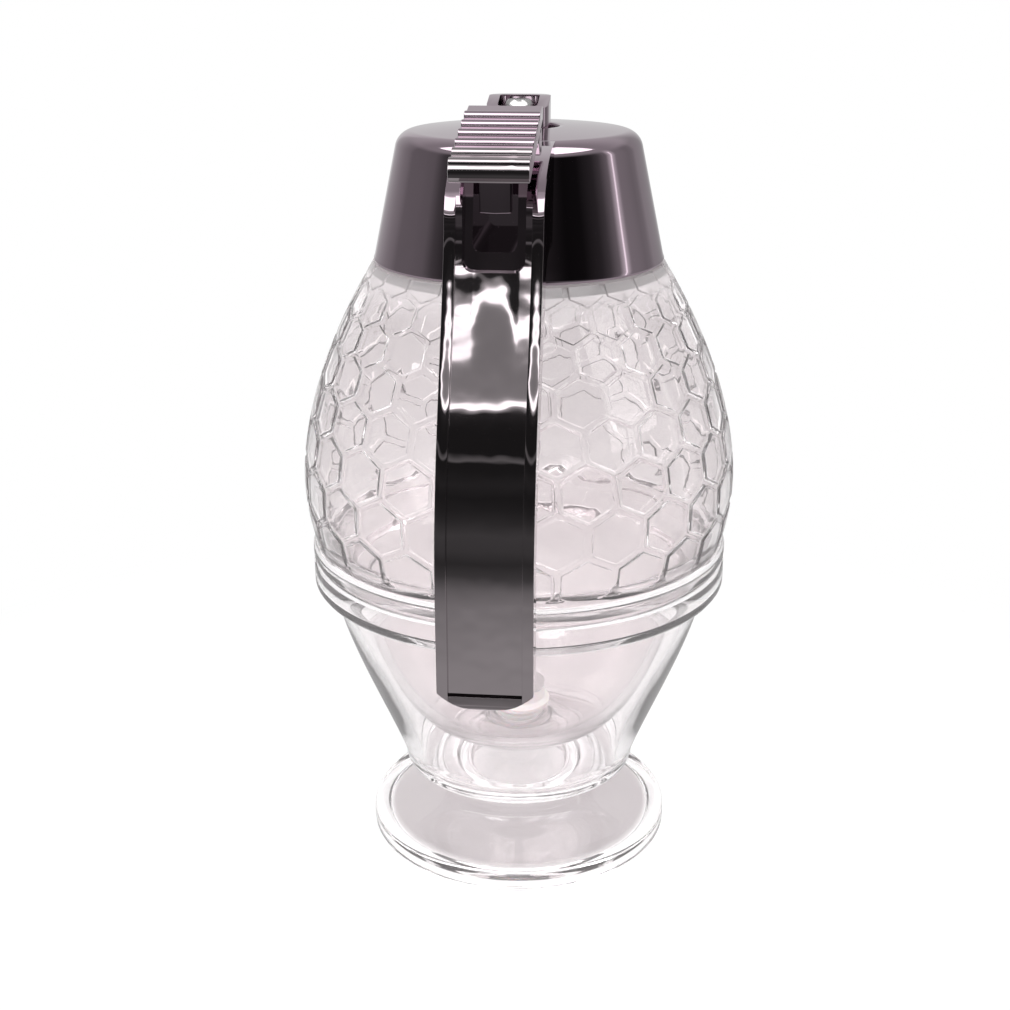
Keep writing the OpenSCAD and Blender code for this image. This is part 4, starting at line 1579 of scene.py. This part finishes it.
# ---------------------------------------------------------------- studio
@dataclass
class Studio:
    """Floor, lights, surroundings and camera, sizes in metres."""

    floor_half: float = 3.0
    floor_z: float = -0.0002
    camera_place: Place = (0.02275, -0.2600, 0.163)
    camera_tilt: float = 20.3
    camera_turn: float = 5.0
    lens: float = 52.08
    shift: float = -14 / 1010
    aim: Place = (0, 0, 0.08)
    lamps: Tuple[Tuple[str, Place, float, float], ...] = (
        ("key_softbox", (-0.45, -0.55, 0.75), 0.35, 7.0),
        ("fill_softbox", (0.75, -0.25, 0.45), 0.5, 3.5),
        ("top_softbox", (0.1, 0.35, 0.95), 0.6, 6.0))
    fill: float = 0.55
    deep: float = 0.85
    wall_levels: Tuple[Point, ...] = (
        (-180, 0.215), (-167, 0.19), (-158, 0.095), (-142, 0.02), (-125, 0.011), (-57, 0.01), (-45, 0.007),
        (-32, 0.009), (-24, 0.024), (-16, 0.037), (-8, 0.086), (2, 0.25), (5, 0.62), (8.5, 0.9),
        (12, 0.62), (14.5, 0.34), (24, 0.31), (34, 0.26), (41, 0.28), (48, 0.38), (71, 0.38), (79, 0.5),
        (88, 0.66), (112, 0.7), (118, 0.52), (130, 0.455), (146, 0.34), (155, 0.29), (162, 0.22),
        (180, 0.215))
    front_levels: Tuple[Point, ...] = (
        (-60, 0.3), (-27, 0.5), (-24, 0.34), (-19.4, 0.25), (-14.5, 0.09), (-9.6, 0.05), (-5, 0.08),
        (0, 0.09), (4.4, 0.05), (8.6, 0.03), (12.6, 0.022), (16.4, 0.035), (19.8, 0.022), (22.2, 0.02),
        (22.6, 0.25), (23.0, 0.25), (23.4, 0.02), (28, 0.02), (30.5, 0.04), (30.9, 1.0), (31.6, 1.0),
        (31.9, 0.5), (32.7, 0.4), (34.3, 0.34), (37, 0.4), (44, 1.0), (70, 1.0), (80, 0.6))

    def build(self) -> None:
        """Makes the camera, the floor, the lamps and the surroundings."""
        self.camera()
        self.floor()
        self.light()
        self.surroundings()
        bpy.context.scene.view_settings.view_transform = "Standard"

    def camera(self) -> None:
        """Adds the camera at the photograph's viewing angle."""
        data = bpy.data.cameras.new("camera")
        data.lens, data.sensor_width, data.shift_x = self.lens, 36.0, self.shift
        data.clip_start, data.clip_end = 0.01, 20.0
        thing = bpy.data.objects.new("camera", data)
        bpy.context.scene.collection.objects.link(thing)
        thing.location = self.camera_place
        thing.rotation_euler = (math.radians(90 - self.camera_tilt), 0, math.radians(self.camera_turn))
        bpy.context.scene.camera = thing

    def floor(self) -> None:
        """Adds the pale floor, which keeps the object's shadow."""
        bpy.ops.object.select_all(action="DESELECT")
        bpy.ops.mesh.primitive_plane_add(size=2 * self.floor_half, location=(0, 0, self.floor_z))
        thing = bpy.context.object
        thing.name = "floor"
        FLOOR.coat(thing)
        thing.visible_glossy = False

    def light(self) -> None:
        """Adds the soft area lamps."""
        for name, place, size, watts in self.lamps:
            data = bpy.data.lights.new(name, "AREA")
            data.shape, data.size, data.energy = "SQUARE", size, watts
            thing = bpy.data.objects.new(name, data)
            bpy.context.scene.collection.objects.link(thing)
            thing.location = place
            thing.visible_glossy = False
            thing.rotation_euler = (Vector(self.aim) - Vector(place)).to_track_quat("-Z", "Y").to_euler()

    def surroundings(self) -> None:
        """Draws the white background and the grey studio that the plating reflects."""
        world = bpy.data.worlds.new("studio")
        bpy.context.scene.world = world
        world.use_nodes = True
        graph = Graph(world.node_tree)
        east, north, up = graph.parts("Generated")
        mirror = self.reflected(graph, east, north, up)
        inside = graph.ray("Transmission Depth").least(1.0) * 0.8
        level = (graph.ray("Is Camera Ray")
                 + graph.ray("Is Transmission Ray") * (1 - up.smooth(0.15, 0.7) * 0.3)
                 + graph.ray("Is Glossy Ray") * (mirror + (self.deep - mirror) * inside)
                 + graph.ray("Is Diffuse Ray") * self.fill).least(3.0)
        grey = graph.add("ShaderNodeCombineColor", None, {0: level, 1: level, 2: level})
        sky = graph.add("ShaderNodeBackground", None, {"Color": grey, "Strength": 1.0})
        graph.finish(sky, "ShaderNodeOutputWorld")

    def reflected(self, graph: Graph, east: Wire, north: Wire, up: Wire) -> Wire:
        """The studio as the plating sees it: dark behind the camera, a bright window and ceiling, pale walls.

        Args:
            graph: The world's graph.
            east: The direction's part to the right.
            north: The direction's part to the back.
            up: The direction's upward part.

        Returns:
            The level in a direction.
        """
        turn, climb = north.heading(east), up.climb()
        walls = graph.ramp(turn + 0.5, [(deg / 360 + 0.5, level) for deg, level in self.wall_levels])
        front = graph.ramp(climb * 2 + 0.5, [(deg / 180 + 0.5, level) for deg, level in self.front_levels])
        facing = turn.between(-137 / 360, -57 / 360, 12 / 360)
        upper = north.smooth(0.2, 0.8) * 0.18 + 0.4
        side = walls + (upper - walls) * climb.smooth(20 / 360, 34 / 360)
        side = side + (0.5 - side) * (1 - climb.smooth(-20 / 360, -12 / 360))
        roof = climb.between(42 / 360, 72 / 360, 1.5 / 360) * (1 - north.smooth(0.0, 0.14))
        scene = side * (1 - facing) + front * facing + roof
        return scene * (1 + scene.smooth(0.75, 0.98) * 2.0)


def main() -> None:
    """Builds every sub-assembly in order."""
    logging.basicConfig(level=logging.INFO, format="%(name)s: %(message)s")
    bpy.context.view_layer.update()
    Studio().build()
    for part in (Stand(), Jar(), Cap(), ThumbLever(), Valve()):
        part.build()
        LOG.info("%s built", type(part).__name__)


if __name__ == "__main__":
    main()
